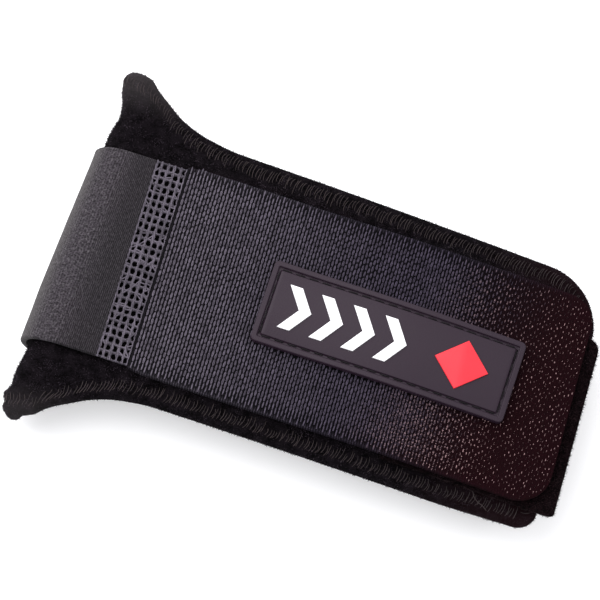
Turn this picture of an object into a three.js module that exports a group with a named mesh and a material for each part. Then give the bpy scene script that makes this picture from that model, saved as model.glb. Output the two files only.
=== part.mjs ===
import * as THREE from 'three';

// Tennis elbow strap, closed into its loop and lying flat, in millimetres.
// X runs along the strap from the fold to the free end, Y across it and Z up.
// The padded cuff goes once round the forearm and tucks its inner end under its front.
// The strap is sewn along the cuff's back, turns round the fold and closes over the front.

// Clearances
const SEAT_GAP = 0.3;
const JOIN_GAP = 0.3;

// Padded cuff
const CUFF_WALL = 3.5;
const CUFF_FAR_REACH = 33;
const CUFF_NEAR_REACH = 30.6;
const CUFF_BACK_REACH = 27.5;
const CUFF_END_TAPER = 2.2;
const CUFF_EDGE_ROLL = 1.5;
const CUFF_FRONT_END = 59.2;
const CUFF_FAR_CORNER = 12;
const CUFF_NEAR_CORNER = 4.5;
const CUFF_INNER_CORNER = 8;
const HORN_REACH = 11.4;
const HORN_LENGTH = 32;
const HORN_BACK_LENGTH = 18;

// Shape of the closed loop
const LOOP_CLEAR = 7.5;
const FRONT_RISE = 2;
const FRONT_RISE_SPAN = 60;
const FOLD_X = -53.8;
const BACK_FOLD_INSET = 8.2;
const TUCK_LENGTH = 36;
const FOLD_LEAN = 2.9;
const FOLD_LEAN_LENGTH = 16;

// Smooth tape round the fold
const TAPE_THICKNESS = 1.5;
const TAPE_WIDTH = 48.2;
const TAPE_BACK_END = 42;

// Open-work ladder between the tape and the web
const LADDER_START = -46.2;
const LADDER_LENGTH = 7.6;
const LADDER_LEAN = -1.8;
const LADDER_COLUMNS = 5;
const LADDER_ROWS = 24;
const LADDER_HOLE_LENGTH = 0.85;
const LADDER_HOLE_WIDTH = 1.15;

// Coarse elastic web over the front
const WEB_THICKNESS = 1.6;
const WEB_WIDTH = 50;
const WEB_END = 59;
const WEB_END_LEAN = -2.7;
const WEB_FAR_CORNER = 6;
const WEB_NEAR_CORNER = 8;

// Hook tab sewn under the web's end
const HOOK_THICKNESS = 1;
const HOOK_START = 22;
const HOOK_END = 61.5;
const HOOK_LEAN = -2.2;
const HOOK_FAR_REACH = 17;
const HOOK_NEAR_REACH = 26.4;
const HOOK_CORNER = 2.5;
const HOOK_RAMP = 32;

// Rubber label on the web
const LABEL_LENGTH = 59.4;
const LABEL_WIDTH = 19.7;
const LABEL_X = 15.6;
const LABEL_HEIGHT = 1.7;
const LABEL_FACE_DROP = 0.45;
const LABEL_GROOVE_DROP = 0.8;
const LABEL_RIM = 1.3;
const LABEL_GROOVE = 0.7;
const LABEL_DRAFT = 0.2;
const LABEL_CORNER = 1;

// Raised marks on the label
const MARK_HEIGHT = 0.5;
const CHEVRON_COUNT = 4;
const CHEVRON_PITCH = 7.4;
const CHEVRON_ARM = 2.9;
const CHEVRON_POINT = 3.6;
const CHEVRON_WIDTH = 10.4;
const CHEVRON_ROW_START = -21.5;
const LOZENGE_LENGTH = 12.6;
const LOZENGE_WIDTH = 11.8;
const LOZENGE_X = 16.8;

// How much of the horn's reach is left at each share of its length away from the fold
const HORN_SHAPE = [
  { away: 0, reach: 1 },
  { away: 0.22, reach: 0.9 },
  { away: 0.31, reach: 0.68 },
  { away: 0.5, reach: 0.32 },
  { away: 0.67, reach: 0.13 },
  { away: 0.84, reach: 0.04 },
  { away: 1, reach: 0 },
];

const HALF_TURN = Math.PI;
const QUARTER_TURN = Math.PI / 2;
const lean = (degrees) => Math.tan(THREE.MathUtils.degToRad(degrees));
const smooth = (value) => THREE.MathUtils.smoothstep(value, 0, 1);

// Middle line of the cuff: the front is one shallow arch, the back is flat, and each fold is
// an arc that touches both. The way along it is 0 at the outermost point of the strap's fold,
// grows over the front and falls below 0 along the back and the tucked inner end.
const backLevel = TAPE_THICKNESS + SEAT_GAP + CUFF_WALL / 2;
const crownLevel = backLevel + CUFF_WALL + LOOP_CLEAR;
const archRadius = (FRONT_RISE_SPAN ** 2 / FRONT_RISE + FRONT_RISE) / 2;
const archCentre = crownLevel - archRadius;
const tuckRadius = archRadius - CUFF_WALL - SEAT_GAP;

function foldBetween(radius, x) {
  const depth = backLevel - archCentre;
  const bend = (radius ** 2 - x ** 2 - depth ** 2) / (2 * (radius + depth));
  return { x, z: backLevel + bend, bend, tilt: Math.atan2(x, backLevel + bend - archCentre) };
}

const frontFold = foldBetween(archRadius, FOLD_X);
const backFold = foldBetween(tuckRadius, CUFF_FRONT_END - BACK_FOLD_INSET);

const foldTop = frontFold.bend * (frontFold.tilt + QUARTER_TURN);
const foldBottom = -frontFold.bend * QUARTER_TURN;
const backRunEnd = foldBottom - (backFold.x - frontFold.x);
const tuckStart = backRunEnd - backFold.bend * (HALF_TURN - backFold.tilt);
const tuckEnd = tuckStart - TUCK_LENGTH;

function onArc(centreX, centreZ, radius, angle) {
  const out = { x: Math.sin(angle), z: Math.cos(angle) };
  return { x: centreX + radius * out.x, z: centreZ + radius * out.z, out };
}

function onMiddleLine(way) {
  if (way > foldTop) {
    return onArc(0, archCentre, archRadius, frontFold.tilt + (way - foldTop) / archRadius);
  }
  if (way > foldBottom) {
    const angle = way / frontFold.bend - QUARTER_TURN;
    return onArc(frontFold.x, frontFold.z, frontFold.bend, angle);
  }
  if (way > backRunEnd) {
    return { x: frontFold.x + foldBottom - way, z: backLevel, out: { x: 0, z: -1 } };
  }
  if (way > tuckStart) {
    const angle = HALF_TURN + (way - backRunEnd) / backFold.bend;
    return onArc(backFold.x, backFold.z, backFold.bend, angle);
  }
  return onArc(0, archCentre, tuckRadius, backFold.tilt + (way - tuckStart) / tuckRadius);
}

// Ways along the middle line that lie at a given X of the front or of the back
const frontWay = (x) => foldTop + archRadius * (Math.asin(x / archRadius) - frontFold.tilt);
const backWay = (x) => foldBottom - (x - frontFold.x);

// A point given by its way along the cuff, its place across and its height off the middle line.
// The fold leans a little, so what is near it slides along X with its place across.
const leanEnd = frontFold.x + FOLD_LEAN_LENGTH / 2;
function bent(way, across, off) {
  const line = onMiddleLine(way);
  const x = line.x + off * line.out.x;
  const leaning = THREE.MathUtils.clamp((leanEnd - x) / FOLD_LEAN_LENGTH, 0, 1);
  return new THREE.Vector3(x + leaning * lean(FOLD_LEAN) * across, across, line.z + off * line.out.z);
}

// A closed body through a row of rings with as many points each
function loft(rings) {
  const count = rings[0].length;
  const positions = rings.flat().flatMap((point) => point.toArray());
  const faces = [];
  for (let row = 0; row + 1 < rings.length; row += 1) {
    for (let k = 0; k < count; k += 1) {
      const a = row * count + k;
      const b = row * count + (k + 1) % count;
      faces.push(a, b, b + count, a, b + count, a + count);
    }
  }
  [0, rings.length - 1].forEach((row) => {
    const middle = new THREE.Vector3();
    rings[row].forEach((point) => middle.addScaledVector(point, 1 / count));
    const hub = positions.length / 3;
    positions.push(...middle.toArray());
    for (let k = 0; k < count; k += 1) {
      const a = row * count + k;
      const b = row * count + (k + 1) % count;
      faces.push(...(row === 0 ? [hub, b, a] : [hub, a, b]));
    }
  });
  return facingOut(positions, faces);
}

function facingOut(positions, faces) {
  const corner = (index) => new THREE.Vector3().fromArray(positions, index * 3);
  let volume = 0;
  for (let k = 0; k < faces.length; k += 3) {
    volume += corner(faces[k]).dot(corner(faces[k + 1]).cross(corner(faces[k + 2])));
  }
  if (volume < 0) {
    faces.reverse();
  }
  const geometry = new THREE.BufferGeometry();
  geometry.setAttribute('position', new THREE.Float32BufferAttribute(positions, 3));
  geometry.setIndex(faces);
  geometry.computeVertexNormals();
  return geometry;
}

// Width that a round corner takes away, by the distance from the end that it rounds
function cornerLoss(distance, radius) {
  const inside = THREE.MathUtils.clamp(radius - distance, 0, radius);
  return radius - Math.sqrt(radius ** 2 - inside ** 2);
}

// Shares of a corner's radius at which an outline gets a section
const CORNER_STEPS = [0, 0.05, 0.19, 0.41, 0.69, 1];

// Evenly spaced ways from one to another, both ends in
function spread(from, to, step) {
  const count = Math.max(1, Math.round(Math.abs(to - from) / step));
  return Array.from({ length: count + 1 }, (_, k) => from + (to - from) * k / count);
}

const inOrder = (ways) => [...new Set(ways.map((way) => +way.toFixed(4)))].sort((a, b) => b - a);

// Cuff
function hornReach(way) {
  const away = Math.min(1, way > 0 ? way / HORN_LENGTH : -way / HORN_BACK_LENGTH);
  const next = HORN_SHAPE.findIndex((row) => row.away >= away);
  if (next < 1) {
    return HORN_REACH * HORN_SHAPE[0].reach;
  }
  const a = HORN_SHAPE[next - 1];
  const b = HORN_SHAPE[next];
  return HORN_REACH * THREE.MathUtils.mapLinear(away, a.away, b.away, a.reach, b.reach);
}

function cuffSection(way) {
  const frontEnd = frontWay(CUFF_FRONT_END);
  const toBack = smooth(-way / HORN_LENGTH);
  const taper = CUFF_END_TAPER * Math.max(0, way / frontEnd);
  const inner = cornerLoss(way - tuckEnd, CUFF_INNER_CORNER);
  const horn = hornReach(way);
  const side = (reach, corner) => THREE.MathUtils.lerp(reach, CUFF_BACK_REACH, toBack)
    + horn - cornerLoss(frontEnd - way, corner) - inner;
  const far = side(CUFF_FAR_REACH, CUFF_FAR_CORNER) - taper;
  const near = side(CUFF_NEAR_REACH, CUFF_NEAR_CORNER);
  const face = CUFF_WALL / 2;
  const flank = face * 0.6;
  const roll = CUFF_EDGE_ROLL;
  const rim = (edge, sign) => [
    [sign * (edge - roll), sign * face],
    [sign * (edge - roll * 0.25), sign * flank],
    [sign * edge, 0],
    [sign * (edge - roll * 0.25), -sign * flank],
    [sign * (edge - roll), -sign * face],
  ];
  return [...rim(far, 1), ...rim(near, -1)].map(([across, off]) => bent(way, across, off));
}

function cuff() {
  const frontEnd = frontWay(CUFF_FRONT_END);
  const corner = (end, radius) => CORNER_STEPS.map((share) => end + share * radius);
  const ways = inOrder([
    ...corner(frontEnd, -CUFF_FAR_CORNER),
    frontEnd - CUFF_NEAR_CORNER,
    ...spread(frontEnd - CUFF_FAR_CORNER, HORN_LENGTH, 12),
    ...spread(HORN_LENGTH, foldTop, 3.5),
    ...spread(foldTop, foldBottom, 2),
    ...spread(foldBottom, -HORN_BACK_LENGTH, 2.5),
    ...spread(-HORN_BACK_LENGTH, -HORN_LENGTH, 4),
    ...spread(-HORN_LENGTH, backRunEnd, 20),
    ...spread(backRunEnd, tuckStart, 1.6),
    ...spread(tuckStart, tuckEnd + CUFF_INNER_CORNER, 10),
    ...corner(tuckEnd, CUFF_INNER_CORNER),
  ]);
  return loft(ways.map(cuffSection));
}

// Strap pieces: flat bands whose ends may lean and whose corners may be round
const strapSeat = CUFF_WALL / 2 + SEAT_GAP;
const hookWay = frontWay(HOOK_START);
const webLift = (way) => (HOOK_THICKNESS + SEAT_GAP) * smooth((way - hookWay + HOOK_RAMP) / HOOK_RAMP);

function bandSection(way, leaning, near, far, low, high) {
  const soft = (high - low) / 4;
  return [
    [far - soft, high],
    [far, high - soft],
    [far, low + soft],
    [far - soft, low],
    [-near + soft, low],
    [-near, low + soft],
    [-near, high - soft],
    [-near + soft, high],
  ].map(([across, off]) => bent(way + leaning * across, across, off));
}

function foldTape() {
  const top = strapSeat + TAPE_THICKNESS;
  const start = frontWay(LADDER_START) - JOIN_GAP;
  const ways = inOrder([
    start,
    ...spread(start - HORN_LENGTH / 16, foldTop, 3),
    ...spread(foldTop, foldBottom, 1.5),
    ...spread(foldBottom, backWay(TAPE_BACK_END), 24),
  ]);
  return loft(ways.map((way) => {
    const leaning = way === ways[0] ? lean(LADDER_LEAN) : 0;
    return bandSection(way, leaning, TAPE_WIDTH / 2, TAPE_WIDTH / 2, strapSeat, top);
  }));
}

// Lines of a row of even gaps: where each bar ends and the next begins
function barLines(total, count, gap) {
  const pitch = total / count;
  const lines = Array.from({ length: count }, (_, k) => [(k + 0.5) * pitch - gap / 2, (k + 0.5) * pitch + gap / 2]);
  return [0, ...lines.flat(), total];
}

// The ladder is a grid of bars: each cell that is odd both ways is a gap with four walls
function ladderBand() {
  const start = frontWay(LADDER_START);
  const along = barLines(LADDER_LENGTH, LADDER_COLUMNS, LADDER_HOLE_LENGTH);
  const across = barLines(TAPE_WIDTH, LADDER_ROWS, LADDER_HOLE_WIDTH).map((y) => y - TAPE_WIDTH / 2);
  const positions = [];
  [strapSeat, strapSeat + TAPE_THICKNESS].forEach((off) => along.forEach((x) => across.forEach((y) => {
    positions.push(...bent(start + x + lean(LADDER_LEAN) * y, y, off).toArray());
  })));
  const at = (column, row, level) => (level * along.length + column) * across.length + row;
  const faces = [];
  const quad = (a, b, c, d) => faces.push(a, b, c, a, c, d);
  const isBar = (column, row) => column >= 0 && row >= 0 && column < along.length - 1
    && row < across.length - 1 && (column % 2 === 0 || row % 2 === 0);
  for (let i = 0; i < along.length - 1; i += 1) {
    for (let j = 0; j < across.length - 1; j += 1) {
      if (isBar(i, j)) {
        quad(at(i, j, 1), at(i + 1, j, 1), at(i + 1, j + 1, 1), at(i, j + 1, 1));
        quad(at(i, j, 0), at(i, j + 1, 0), at(i + 1, j + 1, 0), at(i + 1, j, 0));
        const sides = [[i, j, i + 1, j, 0, -1], [i + 1, j, i + 1, j + 1, 1, 0],
          [i + 1, j + 1, i, j + 1, 0, 1], [i, j + 1, i, j, -1, 0]];
        sides.filter(([, , , , di, dj]) => !isBar(i + di, j + dj)).forEach(([a, b, c, d]) => {
          quad(at(a, b, 0), at(c, d, 0), at(c, d, 1), at(a, b, 1));
        });
      }
    }
  }
  return facingOut(positions, faces);
}

function elasticWeb() {
  const start = frontWay(LADDER_START + LADDER_LENGTH) + JOIN_GAP;
  const end = frontWay(WEB_END);
  const ways = inOrder([
    start,
    ...spread(start + WEB_FAR_CORNER, hookWay - HOOK_RAMP, 10),
    ...spread(hookWay - HOOK_RAMP, hookWay, 6),
    ...spread(hookWay, end - WEB_NEAR_CORNER, 12),
    ...CORNER_STEPS.map((share) => end - share * WEB_NEAR_CORNER),
    ...CORNER_STEPS.map((share) => end - share * WEB_FAR_CORNER),
  ]);
  return loft(ways.map((way) => {
    const share = (way - start) / (end - start);
    const leaning = THREE.MathUtils.lerp(lean(LADDER_LEAN), lean(WEB_END_LEAN), share);
    const near = WEB_WIDTH / 2 - cornerLoss(end - way, WEB_NEAR_CORNER);
    const far = WEB_WIDTH / 2 - cornerLoss(end - way, WEB_FAR_CORNER);
    const low = strapSeat + webLift(way);
    return bandSection(way, leaning, near, far, low, low + WEB_THICKNESS);
  }));
}

function hookTab() {
  const end = frontWay(HOOK_END);
  const ways = inOrder([
    ...spread(hookWay, end - HOOK_CORNER, 12),
    ...CORNER_STEPS.map((share) => end - share * HOOK_CORNER),
  ]);
  return loft(ways.map((way) => {
    const leaning = lean(HOOK_LEAN) * (way - hookWay) / (end - hookWay);
    const loss = cornerLoss(end - way, HOOK_CORNER);
    const far = HOOK_FAR_REACH - loss;
    return bandSection(way, leaning, HOOK_NEAR_REACH - loss / 3, far, strapSeat, strapSeat + HOOK_THICKNESS);
  }));
}

// Label: a raised rim, a stitching groove inside it and the face between
const labelSeat = strapSeat + WEB_THICKNESS + SEAT_GAP;
const labelWay = frontWay(LABEL_X);
const labelSteps = [
  { inset: 0, drop: 0 },
  { inset: LABEL_CORNER, drop: 0 },
  { inset: LABEL_RIM, drop: 0 },
  { inset: LABEL_RIM + LABEL_DRAFT, drop: LABEL_GROOVE_DROP },
  { inset: LABEL_RIM + LABEL_GROOVE, drop: LABEL_GROOVE_DROP },
  { inset: LABEL_RIM + LABEL_GROOVE + LABEL_DRAFT, drop: LABEL_FACE_DROP },
];

function labelDrop(inset) {
  const next = labelSteps.findIndex((step) => step.inset >= inset - 1e-6);
  return next < 0 ? LABEL_FACE_DROP : labelSteps[next].drop;
}

function labelPatch() {
  const insets = labelSteps.map((step) => step.inset);
  const half = LABEL_LENGTH / 2;
  const lastInset = insets[insets.length - 1];
  const middle = spread(half - lastInset, lastInset - half, 6).slice(1, -1);
  const places = [...insets.map((inset) => inset - half), ...middle, ...insets.map((inset) => half - inset)];
  places.sort((a, b) => a - b);
  return loft(places.map((along) => {
    const way = labelWay + along;
    const endInset = half - Math.abs(along);
    const reach = LABEL_WIDTH / 2 - cornerLoss(endInset, LABEL_CORNER);
    const low = labelSeat + webLift(way);
    const top = insets.slice(1).map((inset) => {
      const across = Math.min(reach - 0.05 * (insets.length - inset), LABEL_WIDTH / 2 - inset);
      return [across, low + LABEL_HEIGHT - labelDrop(Math.min(inset, endInset))];
    });
    const far = [[reach, low], [reach, low + LABEL_HEIGHT], ...top];
    const near = [...far].reverse().map(([across, off]) => [-across, off]);
    return [...far, ...near].map(([across, off]) => bent(way, across, off));
  }));
}

// A raised mark is drawn flat round its own middle and bent to the label's face
function markGeometry(shape, along) {
  const face = labelSeat + LABEL_HEIGHT - LABEL_FACE_DROP + SEAT_GAP;
  const flat = new THREE.ExtrudeGeometry(shape, { depth: MARK_HEIGHT, bevelEnabled: false });
  const place = flat.getAttribute('position');
  for (let k = 0; k < place.count; k += 1) {
    const way = labelWay + along + place.getX(k);
    const point = bent(way, place.getY(k), face + webLift(way) + place.getZ(k));
    place.setXYZ(k, point.x, point.y, point.z);
  }
  flat.computeVertexNormals();
  return flat;
}

function chevronShape() {
  const half = CHEVRON_WIDTH / 2;
  const back = -(CHEVRON_ARM + CHEVRON_POINT) / 2;
  return new THREE.Shape([
    new THREE.Vector2(back, -half),
    new THREE.Vector2(back + CHEVRON_ARM, -half),
    new THREE.Vector2(back + CHEVRON_ARM + CHEVRON_POINT, 0),
    new THREE.Vector2(back + CHEVRON_ARM, half),
    new THREE.Vector2(back, half),
    new THREE.Vector2(back + CHEVRON_POINT, 0),
  ]);
}

function lozengeShape() {
  return new THREE.Shape([
    new THREE.Vector2(-LOZENGE_LENGTH / 2, 0),
    new THREE.Vector2(0, -LOZENGE_WIDTH / 2),
    new THREE.Vector2(LOZENGE_LENGTH / 2, 0),
    new THREE.Vector2(0, LOZENGE_WIDTH / 2),
  ]);
}

// Finishes
const plush = new THREE.MeshStandardMaterial({ color: 0x1b181c, roughness: 0.95, metalness: 0 });
const tapeWeave = new THREE.MeshStandardMaterial({ color: 0x4b454c, roughness: 0.85, metalness: 0 });
const netWeave = new THREE.MeshStandardMaterial({ color: 0x454048, roughness: 0.9, metalness: 0 });
const webWeave = new THREE.MeshStandardMaterial({ color: 0x3d3840, roughness: 0.9, metalness: 0 });
const hookPile = new THREE.MeshStandardMaterial({ color: 0x241d20, roughness: 0.9, metalness: 0 });
const darkRubber = new THREE.MeshStandardMaterial({ color: 0x453f49, roughness: 0.55, metalness: 0 });
const whiteRubber = new THREE.MeshStandardMaterial({ color: 0xf2f2f4, roughness: 0.5, metalness: 0 });
const redRubber = new THREE.MeshStandardMaterial({ color: 0xe8303f, roughness: 0.5, metalness: 0 });

const elbowStrap = new THREE.Group();
function add(name, geometry, material) {
  const mesh = new THREE.Mesh(geometry, material);
  mesh.name = name;
  elbowStrap.add(mesh);
}

add('cuff', cuff(), plush);
add('fold_tape', foldTape(), tapeWeave);
add('ladder_band', ladderBand(), netWeave);
add('elastic_web', elasticWeb(), webWeave);
add('hook_tab', hookTab(), hookPile);
add('label_patch', labelPatch(), darkRubber);
for (let k = 0; k < CHEVRON_COUNT; k += 1) {
  const along = CHEVRON_ROW_START + k * CHEVRON_PITCH;
  add(`label_chevron_${k + 1}`, markGeometry(chevronShape(), along), whiteRubber);
}
add('label_lozenge', markGeometry(lozengeShape(), LOZENGE_X), redRubber);

// The strap lies on the ground with the middle of its extent over the origin
const extent = new THREE.Box3().setFromObject(elbowStrap);
const middle = extent.getCenter(new THREE.Vector3());
elbowStrap.position.set(-middle.x, -middle.y, -extent.min.z);

export default elbowStrap;
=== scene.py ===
import math
import random

import bmesh
import bpy
from mathutils import Matrix, Vector, noise


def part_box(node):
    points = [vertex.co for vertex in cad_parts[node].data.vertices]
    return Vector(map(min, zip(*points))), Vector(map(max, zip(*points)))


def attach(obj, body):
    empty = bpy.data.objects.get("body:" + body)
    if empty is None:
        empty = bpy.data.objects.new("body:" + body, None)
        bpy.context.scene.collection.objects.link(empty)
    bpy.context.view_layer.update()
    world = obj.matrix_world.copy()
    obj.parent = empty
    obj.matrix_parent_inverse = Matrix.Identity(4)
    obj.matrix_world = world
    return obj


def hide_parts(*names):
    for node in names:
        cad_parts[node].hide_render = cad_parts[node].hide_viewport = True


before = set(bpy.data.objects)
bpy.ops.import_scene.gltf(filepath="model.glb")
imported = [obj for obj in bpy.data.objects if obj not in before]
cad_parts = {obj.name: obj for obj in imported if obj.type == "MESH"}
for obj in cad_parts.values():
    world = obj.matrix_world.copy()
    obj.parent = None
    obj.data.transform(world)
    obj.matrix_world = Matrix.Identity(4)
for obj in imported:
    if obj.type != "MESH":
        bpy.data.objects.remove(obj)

bl_info = {
    "name": "Tennis elbow strap",
    "version": (1, 0, 0),
    "blender": (4, 5, 0),
    "location": "3D View > Sidebar > Elbow strap",
    "description": "Dresses the tennis elbow strap: plush cuff, elastic strap, hook tab and rubber label",
    "category": "Object",
}

MM = 0.001

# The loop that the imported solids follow, in metres
WALL = 3.5 * MM
SEAT_GAP = 0.3 * MM
TAPE_THICK = 1.5 * MM
WEB_THICK = 1.6 * MM
HOOK_THICK = 1.0 * MM
LOOP_CLEAR = 7.5 * MM
FRONT_RISE = 2 * MM
FRONT_RISE_SPAN = 60 * MM
FOLD_X = -53.8 * MM
FRONT_END_X = 59.7 * MM
BACK_FOLD_INSET = 8.7 * MM
TUCK_LENGTH = 36 * MM
FOLD_LEAN = 2.9
FOLD_LEAN_LENGTH = 16 * MM
NEAR_TAPER_LENGTH = 25 * MM

# How the fold's line strays along the strap, in millimetres: swells as (middle, half width, amount), and
# steps as (start, rise length, amount)
FLANK_SWELLS = ((34.6, 3, 0.45), (26.8, 3.5, -0.45), (-27.6, 3.6, 1.15), (-34.3, 1.3, 1.0), (-37, 2.6, -1.0))
FLANK_MIDDLE = -0.4
FAR_TIP_STEP = (35.5, 6, -2.6)
NEAR_TIP_STEP = (39.6, 2, 1.2)

# The cuff's outline
FAR_REACH = 33 * MM
NEAR_REACH = 30.6 * MM
BACK_REACH = 27.5 * MM
END_TAPER = 2.2 * MM
NEAR_END_TAPER = 0.8 * MM
FAR_CORNER = 14 * MM
NEAR_CORNER = 4.5 * MM
INNER_CORNER = 8 * MM
HORN_REACH = 11.4 * MM
HORN_LENGTH = 32 * MM
HORN_BACK_LENGTH = 18 * MM
HORN_SHAPE = ((0, 1), (0.22, 0.9), (0.31, 0.68), (0.5, 0.32), (0.67, 0.13), (0.84, 0.04), (1, 0))

# The strap's pieces along the front
LADDER_X = -46.2 * MM
LADDER_LENGTH = 7.6 * MM
LADDER_LEAN = -1.8
WEB_END_X = 59 * MM
WEB_END_LEAN = -2.7
WEB_FAR_CORNER = 6 * MM
WEB_NEAR_CORNER = 8 * MM
HOOK_X = 22 * MM
HOOK_END_X = 62.1 * MM
HOOK_LEAN = -2.2
HOOK_FAR_REACH = 17 * MM
HOOK_NEAR_REACH = 25.6 * MM
HOOK_CORNER = 2.5 * MM
HOOK_RAMP = 32 * MM
TAPE_BACK_X = 42 * MM
LABEL_X = 15.6 * MM

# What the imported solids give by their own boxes
TAPE_LOW, TAPE_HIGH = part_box("fold_tape")
WEB_LOW, WEB_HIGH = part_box("elastic_web")
TAPE_WIDTH = TAPE_HIGH.y - TAPE_LOW.y
WEB_WIDTH = WEB_HIGH.y - WEB_LOW.y
SHIFT = Vector((TAPE_HIGH.x - TAPE_BACK_X, (TAPE_HIGH.y + TAPE_LOW.y) / 2, 0))

BACK_LEVEL = TAPE_THICK + SEAT_GAP + WALL / 2
CROWN_LEVEL = BACK_LEVEL + WALL + LOOP_CLEAR
ARCH_RADIUS = (FRONT_RISE_SPAN ** 2 / FRONT_RISE + FRONT_RISE) / 2
ARCH_CENTRE = CROWN_LEVEL - ARCH_RADIUS
TUCK_RADIUS = ARCH_RADIUS - WALL - SEAT_GAP
STRAP_SEAT = WALL / 2 + SEAT_GAP


def smooth(value):
    """0 below 0, 1 above 1 and an even rise between."""
    value = min(1.0, max(0.0, value))
    return value * value * (3 - 2 * value)


def mix(a, b, share):
    return a + (b - a) * share


def lean(degrees):
    return math.tan(math.radians(degrees))


class Fold:
    """The arc that touches the flat back and an arch of the given radius."""

    def __init__(self, radius, x):
        depth = BACK_LEVEL - ARCH_CENTRE
        self.bend = (radius ** 2 - x ** 2 - depth ** 2) / (2 * (radius + depth))
        self.x = x
        self.z = BACK_LEVEL + self.bend
        self.tilt = math.atan2(x, self.z - ARCH_CENTRE)


FRONT_FOLD = Fold(ARCH_RADIUS, FOLD_X)
BACK_FOLD = Fold(TUCK_RADIUS, FRONT_END_X - BACK_FOLD_INSET)
FOLD_TOP = FRONT_FOLD.bend * (FRONT_FOLD.tilt + math.pi / 2)
FOLD_BOTTOM = -FRONT_FOLD.bend * math.pi / 2
BACK_RUN_END = FOLD_BOTTOM - (BACK_FOLD.x - FRONT_FOLD.x)
TUCK_START = BACK_RUN_END - BACK_FOLD.bend * (math.pi - BACK_FOLD.tilt)
TUCK_END = TUCK_START - TUCK_LENGTH


def on_arc(x, z, radius, angle):
    out = (math.sin(angle), math.cos(angle))
    return x + radius * out[0], z + radius * out[1], out


def on_middle_line(way):
    """The cuff's middle line at a way along it, and the direction out of the loop there."""
    if way > FOLD_TOP:
        return on_arc(0, ARCH_CENTRE, ARCH_RADIUS, FRONT_FOLD.tilt + (way - FOLD_TOP) / ARCH_RADIUS)
    if way > FOLD_BOTTOM:
        return on_arc(FRONT_FOLD.x, FRONT_FOLD.z, FRONT_FOLD.bend, way / FRONT_FOLD.bend - math.pi / 2)
    if way > BACK_RUN_END:
        return FRONT_FOLD.x + FOLD_BOTTOM - way, BACK_LEVEL, (0, -1)
    if way > TUCK_START:
        return on_arc(BACK_FOLD.x, BACK_FOLD.z, BACK_FOLD.bend,
                      math.pi + (way - BACK_RUN_END) / BACK_FOLD.bend)
    return on_arc(0, ARCH_CENTRE, TUCK_RADIUS, BACK_FOLD.tilt + (way - TUCK_START) / TUCK_RADIUS)


def front_way(x):
    return FOLD_TOP + ARCH_RADIUS * (math.asin(x / ARCH_RADIUS) - FRONT_FOLD.tilt)


def back_way(x):
    return FOLD_BOTTOM - (x - FRONT_FOLD.x)


def swell(value, middle, half_width):
    """1 at the middle and 0 beyond half_width from it."""
    return smooth(1 - abs(value - middle) / half_width)


def fold_flank(across):
    """How far the fold's line strays along the strap: its middle, then the horns' feet, notch and tips."""
    place = across / MM
    strayed = FLANK_MIDDLE * smooth((place + 24) / 16) * smooth((32 - place) / 4)
    strayed += sum(amount * swell(place, middle, half) for middle, half, amount in FLANK_SWELLS)
    for side, (start, length, amount) in ((1, FAR_TIP_STEP), (-1, NEAR_TIP_STEP)):
        strayed += amount * smooth((side * place - start) / length)
    return strayed * MM


def bent(way, across, off):
    """The point at a way along the cuff, a place across it and a height off its middle line."""
    x, z, out = on_middle_line(way)
    x += off * out[0]
    leaning = min(1.0, max(0.0, (FRONT_FOLD.x + FOLD_LEAN_LENGTH / 2 - x) / FOLD_LEAN_LENGTH))
    sideways = lean(FOLD_LEAN) * across + fold_flank(across)
    return Vector((x + leaning * sideways, across, z + off * out[1])) + SHIFT


FRONT_END = front_way(FRONT_END_X)
HOOK_WAY = front_way(HOOK_X)
WEB_START = front_way(LADDER_X + LADDER_LENGTH)
WEB_END = front_way(WEB_END_X)
HOOK_END = front_way(HOOK_END_X)
LABEL_WAY = front_way(LABEL_X)


def web_lift(way):
    """How far the hook tab holds the web off the cuff."""
    return (HOOK_THICK + SEAT_GAP) * smooth((way - HOOK_WAY + HOOK_RAMP) / HOOK_RAMP)


def corner_loss(distance, radius):
    """Width that a round corner takes away at a distance from the end."""
    inside = min(radius, max(0.0, radius - distance))
    return radius - math.sqrt(radius ** 2 - inside ** 2)


def horn_slope(index):
    """How steeply the horn's outline falls at one of its points: level at both ends."""
    if index in (0, len(HORN_SHAPE) - 1):
        return 0.0
    (a, reach_a), (b, reach_b) = HORN_SHAPE[index - 1], HORN_SHAPE[index + 1]
    return (reach_b - reach_a) / (b - a)


def horn_reach(way):
    """How far the horns stand out at a way from the fold: a smooth curve through the shape's points."""
    away = min(1.0, way / HORN_LENGTH if way > 0 else -way / HORN_BACK_LENGTH)
    for index in range(len(HORN_SHAPE) - 1):
        (a, reach_a), (b, reach_b) = HORN_SHAPE[index], HORN_SHAPE[index + 1]
        if away <= b:
            share = (away - a) / (b - a)
            bow_a = (b - a) * horn_slope(index) * share * (1 - share) ** 2
            bow_b = (b - a) * horn_slope(index + 1) * share ** 2 * (1 - share)
            return HORN_REACH * (mix(reach_a, reach_b, smooth(share)) + bow_a - bow_b)
    return 0.0


def cuff_reach(way):
    """The cuff's edges at a way along it, as (near, far) distances from its middle."""
    to_back = smooth(-way / HORN_LENGTH)
    taper = END_TAPER * max(0.0, way / FRONT_END)
    shared = horn_reach(way) - corner_loss(way - TUCK_END, INNER_CORNER)
    far = mix(FAR_REACH, BACK_REACH, to_back) + shared - taper - corner_loss(FRONT_END - way, FAR_CORNER)
    near = mix(NEAR_REACH, BACK_REACH, to_back) + shared - corner_loss(FRONT_END - way, NEAR_CORNER)
    near -= NEAR_END_TAPER * smooth(1 - (FRONT_END - way) / NEAR_TAPER_LENGTH)
    return near, far


def spread(start, end, step):
    """Even values from start to end, both in."""
    count = max(1, round(abs(end - start) / step))
    return [mix(start, end, k / count) for k in range(count + 1)]


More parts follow.
